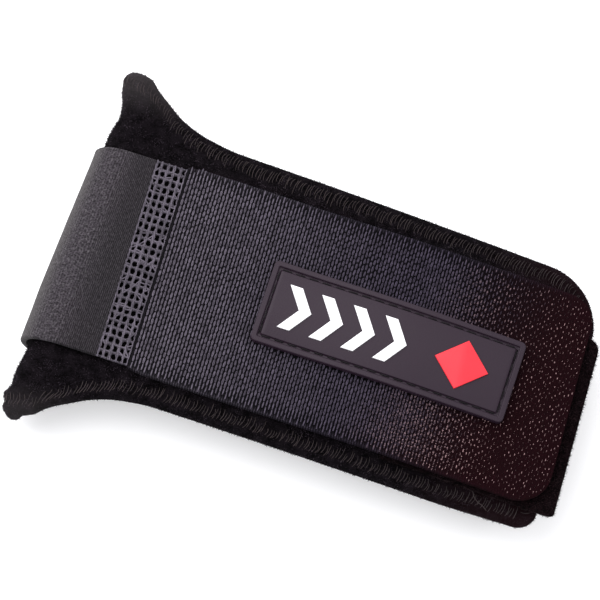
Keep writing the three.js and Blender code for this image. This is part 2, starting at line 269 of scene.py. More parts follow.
# Sizes and colours that a user would change
def length_property(name, description, millimetres, **limits):
    return bpy.props.FloatProperty(
        name=name, description=description, default=millimetres * MM, unit="LENGTH", **limits)


def colour_property(name, description, *channels):
    return bpy.props.FloatVectorProperty(
        name=name, description=description, subtype="COLOR", size=4, default=(*channels, 1))


class CuffSettings(bpy.types.PropertyGroup):
    grain: length_property("Mesh step", "Spacing of the cuff's columns along its length", 0.5, min=0.2 * MM)
    rim: length_property("Rolled rim", "Width of the rolled edge outside the stitches", 1.7)
    valley: length_property("Stitch valley", "Distance of the stitched valley from the edge", 3.1)
    valley_depth: length_property("Valley depth", "How far the stitches pull the plush down", 0.5)
    pile_density: bpy.props.FloatProperty(
        name="Pile density", description="Fibres on a square metre", default=6.0e6)
    pile_length: length_property("Pile length", "Length of a fibre", 0.55)
    pile_width: length_property("Pile width", "Width of a fibre at its foot", 0.14)
    stitch_pitch: length_property("Stitch pitch", "Spacing of the overlock stitches", 0.7)
    thread: length_property("Thread thickness", "Thickness of the overlock thread", 0.15)
    colour: colour_property("Plush colour", "Colour of the plush face", 0.0052, 0.0040, 0.0052)
    thread_colour: colour_property("Thread colour", "Colour of the overlock thread", 0.037, 0.028, 0.029)


class StrapSettings(bpy.types.PropertyGroup):
    grain: length_property("Mesh step", "Spacing of the strap's columns along its length", 0.8, min=0.3 * MM)
    rib: length_property("Rib pitch", "Spacing of the web's ribs along its length", 0.74)
    slit: length_property("Slit pitch", "Spacing of the web's slits across its width", 1.6)
    selvedge: length_property("Selvedge", "Width of the plain ribbed edge of the web", 0.6)
    loop_thread: length_property("Loop thread", "Thickness of the thread of the web's loops", 0.25)
    ladder_rows: bpy.props.IntProperty(
        name="Ladder rows", description="Rows of gaps across the ladder", default=26, min=4)
    ladder_columns: bpy.props.IntProperty(
        name="Ladder columns", description="Columns of gaps along the ladder", default=5, min=1)
    tape_colour: colour_property("Tape colour", "Colour of the smooth tape", 0.0350, 0.0298, 0.0358)
    web_colour: colour_property("Web colour", "Colour of the web's ribs", 0.060, 0.052, 0.066)
    # The end colour is a brown tint with painted shade: the web darker and browner toward its free end,
    # where the light is dimmer.
    end_tint_and_shade: colour_property("End colour", "Brown tint of the web at its free end",
                                 0.0130, 0.0024, 0.0040)


class LabelSettings(bpy.types.PropertyGroup):
    length: length_property("Length", "Length of the label", 59.4)
    width: length_property("Width", "Width of the label", 19.7)
    height: length_property("Height", "Height of the label over the web", 1.7)
    corner: length_property("Corner", "Radius of the label's corners", 1.2)
    rim: length_property("Rim", "Width of the raised rim", 1.25)
    groove: length_property("Groove", "Width of the stitching groove", 0.75)
    mark_height: length_property("Mark height", "Height of the raised marks", 0.5)
    colour: colour_property("Label colour", "Colour of the dark rubber", 0.0162, 0.0070, 0.0155)
    red: colour_property("Red", "Colour of the red rubber", 0.78, 0.030, 0.046)
    white: colour_property("White", "Colour of the white rubber", 0.88, 0.87, 0.89)


SETTINGS = {"cuff": CuffSettings, "strap": StrapSettings, "label": LabelSettings}


class Tree:
    """A short way to place and join the nodes of one shader tree."""

    def __init__(self, tree):
        self.nodes = tree.nodes
        self.links = tree.links

    def put(self, kind, inputs=None, **settings):
        node = self.nodes.new(kind)
        for key, value in settings.items():
            setattr(node, key, value)
        for key, value in (inputs or {}).items():
            self.feed(node.inputs[key], value)
        return node

    def feed(self, socket, value):
        if isinstance(value, bpy.types.NodeSocket):
            self.links.new(value, socket)
        else:
            socket.default_value = value

    def math(self, operation, a, b=0.0, c=0.0):
        node = self.put("ShaderNodeMath", {0: a, 1: b, 2: c}, operation=operation)
        return node.outputs[0]

    def ramp(self, value, low, high, to_low=0.0, to_high=1.0):
        node = self.put("ShaderNodeMapRange", {
            "Value": value, "From Min": low, "From Max": high, "To Min": to_low, "To Max": to_high,
        }, interpolation_type="SMOOTHSTEP")
        return node.outputs["Result"]

    def blend(self, share, a, b, way="MIX"):
        node = self.put("ShaderNodeMix", data_type="RGBA", blend_type=way)
        self.feed(node.inputs["Factor"], share)
        self.feed(node.inputs[6], a)
        self.feed(node.inputs[7], b)
        return node.outputs[2]

    def noise(self, vector, scale, detail=2.0, roughness=0.5):
        return self.put("ShaderNodeTexNoise", {
            "Vector": vector, "Scale": scale, "Detail": detail, "Roughness": roughness})

    def axes(self, vector):
        return self.put("ShaderNodeSeparateXYZ", {"Vector": vector}).outputs

    def stretch(self, vector, scale):
        return self.put("ShaderNodeMapping", {"Vector": vector, "Scale": scale}).outputs["Vector"]


def new_group(name, inputs, outputs):
    """An empty shader group with named sockets, and its tree, group input and group output."""
    group = bpy.data.node_groups.new(name, "ShaderNodeTree")
    for label, kind, value in inputs:
        socket = group.interface.new_socket(name=label, in_out="INPUT", socket_type=kind)
        if value is not None:
            socket.default_value = value
    for label in outputs:
        group.interface.new_socket(name=label, in_out="OUTPUT", socket_type="NodeSocketFloat")
    tree = Tree(group)
    return group, tree, tree.put("NodeGroupInput").outputs, tree.put("NodeGroupOutput").inputs


def woven_group():
    """Ribs that run across a band with staggered slits between them, on flat millimetres."""
    group, t, given, out = new_group("woven_ribs", (
        ("Flat", "NodeSocketVector", None),
        ("Rib Pitch", "NodeSocketFloat", 0.86),
        ("Slit Pitch", "NodeSocketFloat", 1.75),
        ("Slit Length", "NodeSocketFloat", 0.4),
        ("Slit Width", "NodeSocketFloat", 0.25),
        ("Wander", "NodeSocketFloat", 0.2),
    ), ("Slit", "Crown"))
    drift = t.noise(given["Flat"], 0.55, 3.0, 0.6).outputs["Color"]
    shift = t.put("ShaderNodeVectorMath", {0: drift, 1: (0.5, 0.5, 0.5)}, operation="SUBTRACT")
    scaled = t.put("ShaderNodeVectorMath", {0: shift.outputs[0], "Scale": given["Wander"]},
                   operation="SCALE")
    moved = t.put("ShaderNodeVectorMath", {0: given["Flat"], 1: scaled.outputs[0]}, operation="ADD")
    x, y, _ = t.axes(moved.outputs[0])
    along = t.math("DIVIDE", x, given["Rib Pitch"])
    column = t.math("FLOOR", along)
    in_rib = t.math("SUBTRACT", t.math("FRACT", along), 0.5)
    stagger = t.math("MULTIPLY", t.math("FLOORED_MODULO", column, 2.0), 0.5)
    chance = t.put("ShaderNodeTexWhiteNoise", {"W": column}, noise_dimensions="1D").outputs["Value"]
    offset = t.math("ADD", stagger, t.math("MULTIPLY", chance, 0.22))
    across = t.math("ADD", t.math("DIVIDE", y, given["Slit Pitch"]), offset)
    row = t.math("FLOOR", across)
    in_slit = t.math("SUBTRACT", t.math("FRACT", across), 0.5)
    cell_place = t.put("ShaderNodeCombineXYZ", {"X": column, "Y": row}).outputs["Vector"]
    cell = t.put("ShaderNodeTexWhiteNoise", {"Vector": cell_place}, noise_dimensions="2D").outputs["Value"]
    wide = t.math("POWER", t.math("DIVIDE", t.math("ABSOLUTE", in_rib), given["Slit Width"]), 2.0)
    length = t.math("MULTIPLY", given["Slit Length"], t.math("ADD", t.math("MULTIPLY", cell, 0.3), 0.85))
    tall = t.math("POWER", t.math("DIVIDE", t.math("ABSOLUTE", in_slit), length), 4.0)
    t.feed(out["Slit"], t.ramp(t.math("ADD", wide, tall), 0.35, 1.5, 1.0, 0.0))
    crown = t.math("MULTIPLY", t.math("ABSOLUTE", in_rib), 2.0)
    t.feed(out["Crown"], t.ramp(crown, 0.0, 1.0))
    return group


def fuzz_group():
    """Short mottled fibres: a shade and a height, on flat millimetres."""
    group, t, given, out = new_group("cloth_fuzz", (
        ("Flat", "NodeSocketVector", None),
        ("Fibre", "NodeSocketFloat", 2.2),
        ("Mottle", "NodeSocketFloat", 0.35),
    ), ("Shade", "Height", "Stray"))
    fine = t.noise(given["Flat"], given["Fibre"], 5.0, 0.7).outputs["Fac"]
    patch = t.noise(given["Flat"], given["Mottle"], 3.0, 0.6).outputs["Fac"]
    combed = t.noise(t.stretch(given["Flat"], (0.8, 2.6, 1.0)), given["Fibre"], 4.0, 0.75).outputs["Fac"]
    shade = t.math("ADD", t.math("MULTIPLY", fine, 0.45), t.math("MULTIPLY", patch, 0.55))
    t.feed(out["Shade"], t.ramp(shade, 0.38, 0.62))
    t.feed(out["Height"], t.math("ADD", t.math("MULTIPLY", fine, 0.6), t.math("MULTIPLY", combed, 0.4)))
    t.feed(out["Stray"], t.ramp(combed, 0.54, 0.68))
    return group


def grain_group():
    """The fine skin of moulded rubber, on object millimetres."""
    group, t, given, out = new_group("rubber_grain", (
        ("Place", "NodeSocketVector", None),
        ("Grain", "NodeSocketFloat", 5.0),
    ), ("Shade", "Height"))
    grain = t.noise(given["Place"], given["Grain"], 3.0, 0.6).outputs["Fac"]
    smudge = t.noise(given["Place"], 0.25, 2.0, 0.5).outputs["Fac"]
    t.feed(out["Shade"], t.math("ADD", t.math("MULTIPLY", grain, 0.3), t.math("MULTIPLY", smudge, 0.7)))
    t.feed(out["Height"], grain)
    return group


GROUP_MAKERS = {"woven_ribs": woven_group, "cloth_fuzz": fuzz_group, "rubber_grain": grain_group}


def dimmed(colour, share):
    return tuple(channel * share for channel in colour[:3]) + (1.0,)


class Finish:
    """One material with its own shader, and the coordinates that its patterns follow."""

    def __init__(self, name):
        self.material = bpy.data.materials.new(name)
        self.material.use_nodes = True
        self.tree = Tree(self.material.node_tree)
        self.shader = self.material.node_tree.nodes["Principled BSDF"]

    def flat(self):
        """The piece's flat cut in millimetres: X along it and Y across it."""
        source = self.tree.put("ShaderNodeUVMap", uv_map="UVMap").outputs["UV"]
        return self.tree.stretch(source, (1000, 1000, 1000))

    def place(self):
        """The place on the object in millimetres."""
        source = self.tree.put("ShaderNodeTexCoord").outputs["Object"]
        return self.tree.stretch(source, (1000, 1000, 1000))

    def group(self, name, inputs):
        tree = bpy.data.node_groups.get(name) or GROUP_MAKERS[name]()
        node = self.tree.put("ShaderNodeGroup", node_tree=tree)
        for key, value in inputs.items():
            self.tree.feed(node.inputs[key], value)
        return node.outputs

    def set(self, **constants):
        for key, value in constants.items():
            self.shader.inputs[key.replace("_", " ")].default_value = value

    def shades(self, share, colour, dark, light):
        """The colour between two brightnesses of its own."""
        return self.tree.blend(share, dimmed(colour, dark), dimmed(colour, light))

    def wear(self, colour, roughness=None, height=None, depth=0.1):
        """Joins a finish to the shader; depth is the height's in millimetres."""
        self.tree.feed(self.shader.inputs["Base Color"], colour)
        if roughness is not None:
            self.tree.feed(self.shader.inputs["Roughness"], roughness)
        if height is not None:
            bump = self.tree.put("ShaderNodeBump", {
                "Strength": 1.0, "Distance": depth * MM, "Height": height})
            self.tree.feed(self.shader.inputs["Normal"], bump.outputs["Normal"])
        return self.material


def cloth_height(t, woven, crown):
    """The height of a weave: its ribs' crowns over its slits."""
    return t.math("SUBTRACT", t.math("MULTIPLY", woven["Crown"], crown), woven["Slit"])


# Tints and spots of the cloths, and their painted highlights, glints, sheen and shade, beside the colours
# that a user would change
# Painted highlight on the cuff's horn tips.
HORN_TIP_HIGHLIGHT = (0.028, 0.025, 0.026, 1)
# Brownish tint with a painted sheen on the cuff toward its free end.
END_TINT_AND_SHEEN = (0.0175, 0.0062, 0.0078, 1)
# Painted highlight along the tape's fold.
FOLD_HIGHLIGHT = (0.078, 0.073, 0.072, 1)
LINT = (0.108, 0.100, 0.107, 1)
# Painted shade: the web's grey dims from the ladder to the label.
FALLOFF_SHADE = (0.48, 0.45, 0.54, 1)
# Painted glints on the loops at the web's free end.
PAINTED_GLINT = (0.36, 0.225, 0.23, 1)
HOOK_DARK, HOOK_LIGHT = (0.0006, 0.0003, 0.0004, 1), (0.006, 0.0028, 0.0036, 1)
HOOK_STRAY = (0.022, 0.014, 0.017, 1)
HOOK_FIBRE_DARK, HOOK_FIBRE_LIGHT = (0.0008, 0.0006, 0.0007, 1), (0.046, 0.030, 0.034, 1)
LABEL_THREAD = (0.008, 0.006, 0.008)


def cuff_tint(t, place, colour):
    """The cuff's colour with a painted highlight on its grey horn tips, and a brownish tint with a painted
    sheen toward its free end.
    """
    x, y, _ = t.axes(place)
    # Painted highlight: the horn tips are lighter where the light falls on them.
    tips = t.math("ADD", t.ramp(y, 31, 42, 0.0, 1.0), t.ramp(y, -43, -34, 0.6, 0.0))
    tip = t.math("MULTIPLY", tips, t.ramp(x, -46, -32, 1.0, 0.0))
    grey = t.blend(tip, colour, HORN_TIP_HIGHLIGHT, "ADD")
    # Toward the free end: a brownish tint with a painted sheen.
    return t.blend(t.ramp(x, 25, 58, 0.0, 0.45), grey, END_TINT_AND_SHEEN)


def plush_finish(settings):
    finish = Finish("cuff_plush")
    fuzz = finish.group("cloth_fuzz", {"Flat": finish.flat(), "Fibre": 2.0, "Mottle": 0.4})
    t = finish.tree
    base = finish.shades(fuzz["Shade"], settings.colour, 0.15, 1.5)
    colour = t.blend(t.math("MULTIPLY", fuzz["Stray"], 0.7), base, dimmed(settings.colour, 4.5))
    finish.set(Roughness=1.0, Specular_IOR_Level=0.03)
    return finish.wear(cuff_tint(t, finish.place(), colour), height=fuzz["Height"], depth=0.9)


def fibre_finish(name, dark, light):
    """Loose fibres, each spot of them lighter or darker than its neighbours."""
    finish = Finish(name)
    t = finish.tree
    place = finish.place()
    fuzz = finish.group("cloth_fuzz", {"Flat": place, "Fibre": 1.8, "Mottle": 0.35})
    mottled = t.blend(t.math("POWER", fuzz["Shade"], 1.6), dark, light)
    finish.set(Roughness=0.9, Specular_IOR_Level=0.05)
    return finish.wear(cuff_tint(t, place, mottled))


def thread_finish(name, colour):
    finish = Finish(name)
    fuzz = finish.group("cloth_fuzz", {"Flat": finish.place(), "Fibre": 3.0, "Mottle": 0.5})
    base = finish.shades(fuzz["Shade"], colour, 0.6, 1.35)
    finish.set(Roughness=0.8, Sheen_Weight=0.02, Specular_IOR_Level=0.15)
    return finish.wear(base, height=fuzz["Height"], depth=0.08)


def tape_finish(settings):
    finish = Finish("smooth_tape")
    t = finish.tree
    flat = finish.flat()
    along = t.axes(flat)[0]
    start = front_way(LADDER_X) / MM
    by_ladder = t.ramp(along, start - 9, start - 3)
    # Painted highlight: the tape is lighter and greyer along the fold.
    lit_fold = t.ramp(t.math("ABSOLUTE", t.math("SUBTRACT", along, FOLD_TOP / MM - 6.5)), 1.0, 4.0, 1.0, 0.0)
    woven = finish.group("woven_ribs", {
        "Flat": flat, "Rib Pitch": 0.41, "Slit Pitch": 0.62,
        "Slit Length": t.math("MULTIPLY_ADD", by_ladder, 2.0, 0.3), "Slit Width": 0.24, "Wander": 0.3})
    fuzz = finish.group("cloth_fuzz", {"Flat": flat, "Fibre": 3.0, "Mottle": 1.6})
    yarn = finish.shades(fuzz["Shade"], settings.tape_colour, 0.45, 1.5)
    shade = t.math("MULTIPLY_ADD", by_ladder, 0.3, t.math("MULTIPLY", woven["Slit"], 0.6))
    shaded = t.blend(shade, yarn, dimmed(settings.tape_colour, 0.22))
    with_fold_highlight = t.blend(t.math("MULTIPLY", lit_fold, 0.55), shaded, FOLD_HIGHLIGHT)
    slanted = t.put("ShaderNodeMapping", {"Vector": flat, "Rotation": (0, 0, 0.7), "Scale": (4.5, 1.7, 1)})
    lint = t.ramp(t.noise(slanted.outputs["Vector"], 0.8, 2.0, 0.6).outputs["Fac"], 0.50, 0.68)
    share = t.math("MULTIPLY", lint, t.math("MULTIPLY_ADD", by_ladder, -0.3, 0.5))
    colour = t.blend(share, with_fold_highlight, LINT)
    ribbed = t.math("MULTIPLY", cloth_height(t, woven, 0.6), t.math("MULTIPLY_ADD", by_ladder, 0.7, 0.5))
    fluffy = t.math("ADD", ribbed, fuzz["Height"])
    finish.set(Roughness=0.85, Sheen_Weight=0.03, Sheen_Roughness=0.4, Specular_IOR_Level=0.1)
    return finish.wear(colour, height=fluffy, depth=0.16)


def net_finish(settings):
    finish = Finish("ladder_net")
    t = finish.tree
    flat = finish.flat()
    woven = finish.group("woven_ribs", {
        "Flat": flat, "Rib Pitch": 0.5, "Slit Pitch": 0.62, "Slit Length": 0.3, "Slit Width": 0.2,
        "Wander": 0.3})
    fuzz = finish.group("cloth_fuzz", {"Flat": flat, "Fibre": 3.0, "Mottle": 0.8})
    yarn = finish.shades(fuzz["Shade"], settings.web_colour, 0.6, 1.5)
    colour = t.blend(t.math("MULTIPLY", woven["Slit"], 0.5), yarn, dimmed(settings.web_colour, 0.25))
    finish.set(Roughness=0.85, Sheen_Weight=0.03, Specular_IOR_Level=0.15)
    return finish.wear(colour, height=cloth_height(t, woven, 1.0), depth=0.1)


def free_end_share(t, along, across):
    """How far a place on the web is toward its free end, where a brown tint and painted shade darken it."""
    slanted = t.math("MULTIPLY_ADD", across, -0.3, along)
    return t.ramp(slanted, HOOK_WAY / MM - 8, HOOK_WAY / MM + 30)


def shaded_by_falloff(t, along, colour):
    """The web's grey with painted shade, darker from the ladder to the label, where the light falls off."""
    falloff_share = t.ramp(along, WEB_START / MM - 5, LABEL_WAY / MM + 5)
    return t.blend(falloff_share, colour, t.blend(1.0, colour, FALLOFF_SHADE, "MULTIPLY"))


def loop_finish(settings):
    """The web's loop yarn: grey at the fold, with painted shade toward the label; at the free end a brown
    tint with painted shade, and painted glints where the thread crowns catch the light.
    """
    finish = Finish("web_loop_yarn")
    t = finish.tree
    place = finish.place()
    x, y, _ = t.axes(place)
    along = t.math("ADD", x, (LABEL_WAY - LABEL_X) / MM)
    free_end = free_end_share(t, along, y)
    fuzz = finish.group("cloth_fuzz", {"Flat": place, "Fibre": 1.3, "Mottle": 0.7})
    grey = shaded_by_falloff(t, along, finish.shades(fuzz["Shade"], settings.web_colour, 1.1, 2.15))
    # Painted glints: light dots where the loops' crowns would catch the light.
    glint = t.noise(place, 2.8, 2.0, 0.6).outputs["Fac"]
    brown = t.blend(t.ramp(glint, 0.51, 0.62), dimmed(settings.end_tint_and_shade, 0.8), PAINTED_GLINT)
    finish.set(Roughness=0.75, Specular_IOR_Level=0.08)
    return finish.wear(t.blend(free_end, grey, brown))


def web_finish(settings):
    finish = Finish("coarse_web")
    t = finish.tree
    flat = finish.flat()
    along, across, _ = t.axes(flat)
    edge = t.math("SUBTRACT", WEB_WIDTH / 2 / MM, t.math("ABSOLUTE", across))
    plain = t.ramp(edge, settings.selvedge / MM - 0.8, settings.selvedge / MM + 0.6, 1.0, 0.0)
    free_end = free_end_share(t, along, across)
    woven = finish.group("woven_ribs", {
        "Flat": flat, "Rib Pitch": settings.rib * 0.8 / MM, "Slit Pitch": settings.slit / MM,
        "Slit Length": t.math("MULTIPLY_ADD", plain, 2.0, 0.36), "Slit Width": 0.28, "Wander": 0.4})
    fuzz = finish.group("cloth_fuzz", {"Flat": flat, "Fibre": 2.4, "Mottle": 0.5})
    lit = finish.shades(fuzz["Shade"], settings.web_colour, 0.5, 1.2)
    rib = t.blend(woven["Crown"], dimmed(settings.web_colour, 0.5), lit)
    ground = t.blend(t.math("MULTIPLY_ADD", plain, -0.9, 0.93), rib, dimmed(settings.web_colour, 0.06))
    slit = t.math("MULTIPLY", woven["Slit"], t.math("MULTIPLY_ADD", plain, -0.3, 0.85))
    deep = t.blend(slit, ground, dimmed(settings.web_colour, 0.1))
    # Toward the free end the web turns brown: a tint with painted shade, darker where the light is dimmer.
    brown = finish.shades(t.math("MULTIPLY", fuzz["Stray"], 0.6), settings.end_tint_and_shade, 0.6, 3.2)
    colour = t.blend(t.math("MULTIPLY", free_end, 0.95), shaded_by_falloff(t, along, deep), brown)
    ribbed = t.math("MULTIPLY", cloth_height(t, woven, 0.7), t.math("MULTIPLY_ADD", free_end, -0.85, 1.0))
    tuft = t.math("ADD", ribbed, t.math("MULTIPLY", fuzz["Height"], t.math("ADD", free_end, 0.5)))
    finish.set(Roughness=0.9, Specular_IOR_Level=0.04)
    return finish.wear(colour, height=tuft, depth=0.25)


def pile_finish():
    finish = Finish("hook_pile")
    t = finish.tree
    fuzz = finish.group("cloth_fuzz", {"Flat": finish.flat(), "Fibre": 1.6, "Mottle": 0.8})
    base = t.blend(fuzz["Shade"], HOOK_DARK, HOOK_LIGHT)
    colour = t.blend(t.math("MULTIPLY", fuzz["Stray"], 0.6), base, HOOK_STRAY)
    finish.set(Roughness=1.0, Specular_IOR_Level=0.04)
    return finish.wear(colour, height=fuzz["Height"], depth=0.5)


def rubber_finish(name, colour, roughness):
    finish = Finish(name)
    t = finish.tree
    grain = finish.group("rubber_grain", {"Place": finish.place(), "Grain": 4.0})
    base = finish.shades(grain["Shade"], colour, 0.9, 1.1)
    rough = t.math("ADD", roughness - 0.05, t.math("MULTIPLY", grain["Shade"], 0.12))
    finish.set(Specular_IOR_Level=0.28)
    return finish.wear(base, roughness=rough, height=grain["Height"], depth=0.03)


# Meshes
def new_piece(bm, name, finish, replaces=(), sharp_over=None):
    """Turns a bmesh into a piece that rides on the one body."""
    mesh = bpy.data.meshes.new(name)
    bm.to_mesh(mesh)
    bm.free()
    return dress_piece(bpy.data.objects.new(name, mesh), finish, replaces, sharp_over)


def dress_piece(piece, finish, replaces=(), sharp_over=None):
    bpy.context.scene.collection.objects.link(piece)
    piece.data.materials.append(finish)
    piece.data.shade_smooth()
    if sharp_over is not None:
        piece.data.set_sharp_from_angle(angle=math.radians(sharp_over))
    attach(piece, "root")
    if replaces:
        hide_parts(*replaces)
    return piece


def shaped_grid(columns, rows, place, nap=None):
    """A grid with each vertex where place puts it; place gives its point and its flat place.

    nap gives how much pile each vertex bears.
    """
    bm = bmesh.new()
    bmesh.ops.create_grid(bm, x_segments=columns, y_segments=rows, size=0.5)
    flat_places = {}
    pile = bm.verts.layers.float.new("nap")
    for vertex in bm.verts:
        column = round((vertex.co.x + 0.5) * columns)
        row = round((vertex.co.y + 0.5) * rows)
        vertex.co, flat_places[vertex] = place(column, row)
        vertex[pile] = nap(column, row) if nap else 1.0
    layer = bm.loops.layers.uv.new("UVMap")
    for face in bm.faces:
        for loop in face.loops:
            loop[layer].uv = flat_places[loop.vert]
    return bm


def solid_sheet(piece, thickness, edge):
    """Gives a laid sheet its thickness, half on each side of where it lies, and softened edges."""
    wall = piece.modifiers.new("Thickness", "SOLIDIFY")
    wall.thickness = thickness
    wall.offset = 0
    wall.use_even_offset = True
    bevel = piece.modifiers.new("Soft edge", "BEVEL")
    bevel.width = edge
    bevel.segments = 3
    bevel.limit_method = "ANGLE"
    bevel.angle_limit = math.radians(50)


def finished_mesh(piece):
    """The mesh that a piece or curve has after its modifiers."""
    bpy.context.view_layer.update()
    return bpy.data.meshes.new_from_object(piece.evaluated_get(bpy.context.evaluated_depsgraph_get()))


def thread_piece(name, strands, radius, finish, sides=1):
    """One mesh of many short threads; each strand is a row of points with its own thickness shares."""
    curve = bpy.data.curves.new(name, "CURVE")
    curve.dimensions = "3D"
    curve.bevel_depth = radius
    curve.bevel_resolution = sides
    curve.use_fill_caps = True
    for strand in strands:
        spline = curve.splines.new("POLY")
        spline.points.add(len(strand) - 1)
        for point, (place, share) in zip(spline.points, strand):
            point.co = (*place, 1)
            point.radius = share
    holder = bpy.data.objects.new(name + "_line", curve)
    bpy.context.scene.collection.objects.link(holder)
    mesh = finished_mesh(holder)
    bpy.data.objects.remove(holder)
    bpy.data.curves.remove(curve)
    mesh.name = name
    mesh.materials.clear()
    return dress_piece(bpy.data.objects.new(name, mesh), finish)


def nap_tree(density, length, width, ruffle):
    """Geometry nodes that stand short tapered fibres on a surface where its nap value asks for them."""
    tree = bpy.data.node_groups.new("nap", "GeometryNodeTree")
    tree.interface.new_socket(name="Surface", in_out="INPUT", socket_type="NodeSocketGeometry")
    tree.interface.new_socket(name="Fibres", in_out="OUTPUT", socket_type="NodeSocketGeometry")
    t = Tree(tree)
    surface = t.put("NodeGroupInput").outputs[0]
    pile = t.put("GeometryNodeInputNamedAttribute", {"Name": "nap"}, data_type="FLOAT").outputs["Attribute"]
    spots = t.put("GeometryNodeDistributePointsOnFaces", {
        "Mesh": surface, "Density": t.math("MULTIPLY", pile, density), "Seed": 4})
    random_lean = t.put("FunctionNodeRandomValue", {
        0: (-ruffle,) * 3, 1: (ruffle,) * 3, "Seed": 7}, data_type="FLOAT_VECTOR").outputs[0]
    upward = t.put("ShaderNodeVectorMath", {0: spots.outputs["Normal"], 1: random_lean}, operation="ADD")
    turn = t.put("FunctionNodeAlignRotationToVector", {"Vector": upward.outputs[0]}, axis="Z")
    fibre = t.put("GeometryNodeMeshCone", {
        "Vertices": 3, "Side Segments": 1, "Radius Top": 0.0, "Radius Bottom": width / 2,
        "Depth": length}, fill_type="NONE")
    size = t.put("FunctionNodeRandomValue", {2: 0.5, 3: 1.2, "Seed": 9}, data_type="FLOAT").outputs[1]
    stood = t.put("GeometryNodeInstanceOnPoints", {
        "Points": spots.outputs["Points"], "Instance": fibre.outputs["Mesh"],
        "Rotation": turn.outputs["Rotation"], "Scale": size})
    real = t.put("GeometryNodeRealizeInstances", {"Geometry": stood.outputs["Instances"]})
    t.feed(t.put("NodeGroupOutput").inputs[0], real.outputs["Geometry"])
    return tree


def nap_piece(name, source, tree, finish):
    """The fibres that a nap tree stands on a piece, as a mesh of their own."""
    holder = bpy.data.objects.new(name + "_base", finished_mesh(source))
    bpy.context.scene.collection.objects.link(holder)
    holder.modifiers.new("Nap", "NODES").node_group = tree
    mesh = finished_mesh(holder)
    bpy.data.objects.remove(holder)
    mesh.name = name
    mesh.materials.clear()
    return dress_piece(bpy.data.objects.new(name, mesh), finish)


# Cuff
EDGE_INSETS = tuple(inset * MM for inset in (
    0, 0.12, 0.4, 0.8, 1.25, 1.7, 2.2, 2.65, 3.1, 3.6, 4.2, 5, 7, 11, 16))
MIDDLE_LINES = 6
OPEN_INSET = 4 * MM
NAP_UNDER, NAP_RIM, NAP_VALLEY, NAP_FULL = 0.4, 0.5, 0.7, 1.0


def cuff_half_thickness(inset, settings):
    """Half of the cuff's thickness at a distance from its edge: rolled rim, stitched valley, pad."""
    rim_height = WALL / 2 * 0.94
    if inset < settings.rim:
        inside = 1 - inset / settings.rim
        return rim_height * math.sqrt(max(0.0, 1 - inside * inside))
    valley_height = WALL / 2 - settings.valley_depth
    if inset < settings.valley:
        share = smooth((inset - settings.rim) / (settings.valley - settings.rim))
        return mix(rim_height, valley_height, share)
    return mix(valley_height, WALL / 2, smooth((inset - settings.valley) / settings.valley))


def cuff_surface(way, across, side, settings):
    """A point of the cuff's face: side is 1 outside the loop and -1 inside it."""
    near, far = cuff_reach(way)
    inset = min(far - across, near + across, FRONT_END - way, way - TUCK_END)
    pucker = 1 + 0.07 * noise.noise(Vector((way, across, 0)) * 900) * smooth(1 - inset / settings.valley)
    lump = 0.11 * MM * noise.noise(Vector((way, across, side * MM)) * 350) * smooth(inset / (4 * MM))
    half = cuff_half_thickness(max(0.0, inset), settings) * pucker
    return bent(way, across, side * (half + lump))


def cuff_mesh(settings):
    ends = [inset for inset in EDGE_INSETS if inset < OPEN_INSET]
    ways = [FRONT_END - inset for inset in ends]
    ways += spread(ways[-1], TUCK_END + ends[-1], settings.grain)[1:]
    ways += [TUCK_END + inset for inset in reversed(ends)][1:]
    lines = len(EDGE_INSETS)

    def across_of(way, line):
        near, far = cuff_reach(way)
        if line < lines:
            return far - EDGE_INSETS[line]
        if line >= lines + MIDDLE_LINES:
            return EDGE_INSETS[2 * lines + MIDDLE_LINES - 1 - line] - near
        share = (line - lines + 1) / (MIDDLE_LINES + 1)
        return mix(far - EDGE_INSETS[-1], EDGE_INSETS[-1] - near, share)

    face_lines = 2 * lines + MIDDLE_LINES

    def place(column, row):
        way = ways[column]
        line = row % (2 * face_lines - 2)
        side = 1 if line < face_lines else -1
        across = across_of(way, line if side > 0 else 2 * face_lines - 2 - line)
        return cuff_surface(way, across, side, settings), (way, across)

    def nap(column, row):
        line = row % (2 * face_lines - 2)
        inset = min(line, face_lines - 1 - line)
        if line >= face_lines:
            return NAP_UNDER if min(line - face_lines, 2 * face_lines - line) < 5 else 0.0
        if inset < 4:
            return NAP_RIM
        if inset < lines - 4:
            return NAP_VALLEY
        across = across_of(ways[column], line)
        return NAP_FULL if inset < lines - 2 or abs(across) > WEB_WIDTH / 2 else 0.0

    bm = shaped_grid(len(ways) - 1, 2 * face_lines - 2, place, nap)
    bmesh.ops.remove_doubles(bm, verts=bm.verts, dist=0.002 * MM)
    bmesh.ops.recalc_face_normals(bm, faces=bm.faces)
    return bm


def overlock_strand(rng, settings, spot):
    """One slanted stitch over the valley; spot gives the way and across of a place inside the edge."""
    inner = rng.uniform(3.5, 5.3) * MM
    outer = rng.uniform(0.8, 1.6) * MM
    sideways = rng.uniform(-0.16, 0.16) * MM
    slant = rng.uniform(0.35, 0.95) * MM
    bow = rng.uniform(-0.55, -0.15) * MM
    lift = rng.uniform(0.1, 0.3) * MM
    strand = []
    for share in (0, 0.25, 0.5, 0.75, 1):
        inset = mix(inner, outer, share)
        curved = bow * math.sin(math.pi * share)
        way, across = spot(inset, sideways + slant * (share - 0.5) + curved)
        height = -0.15 * MM if share in (0, 1) else lift * math.sin(math.pi * share)
        half = cuff_half_thickness(inset, settings)
        strand.append((bent(way, across, half + height), 0.6 if share in (0, 1) else rng.uniform(0.8, 1.1)))
    return strand


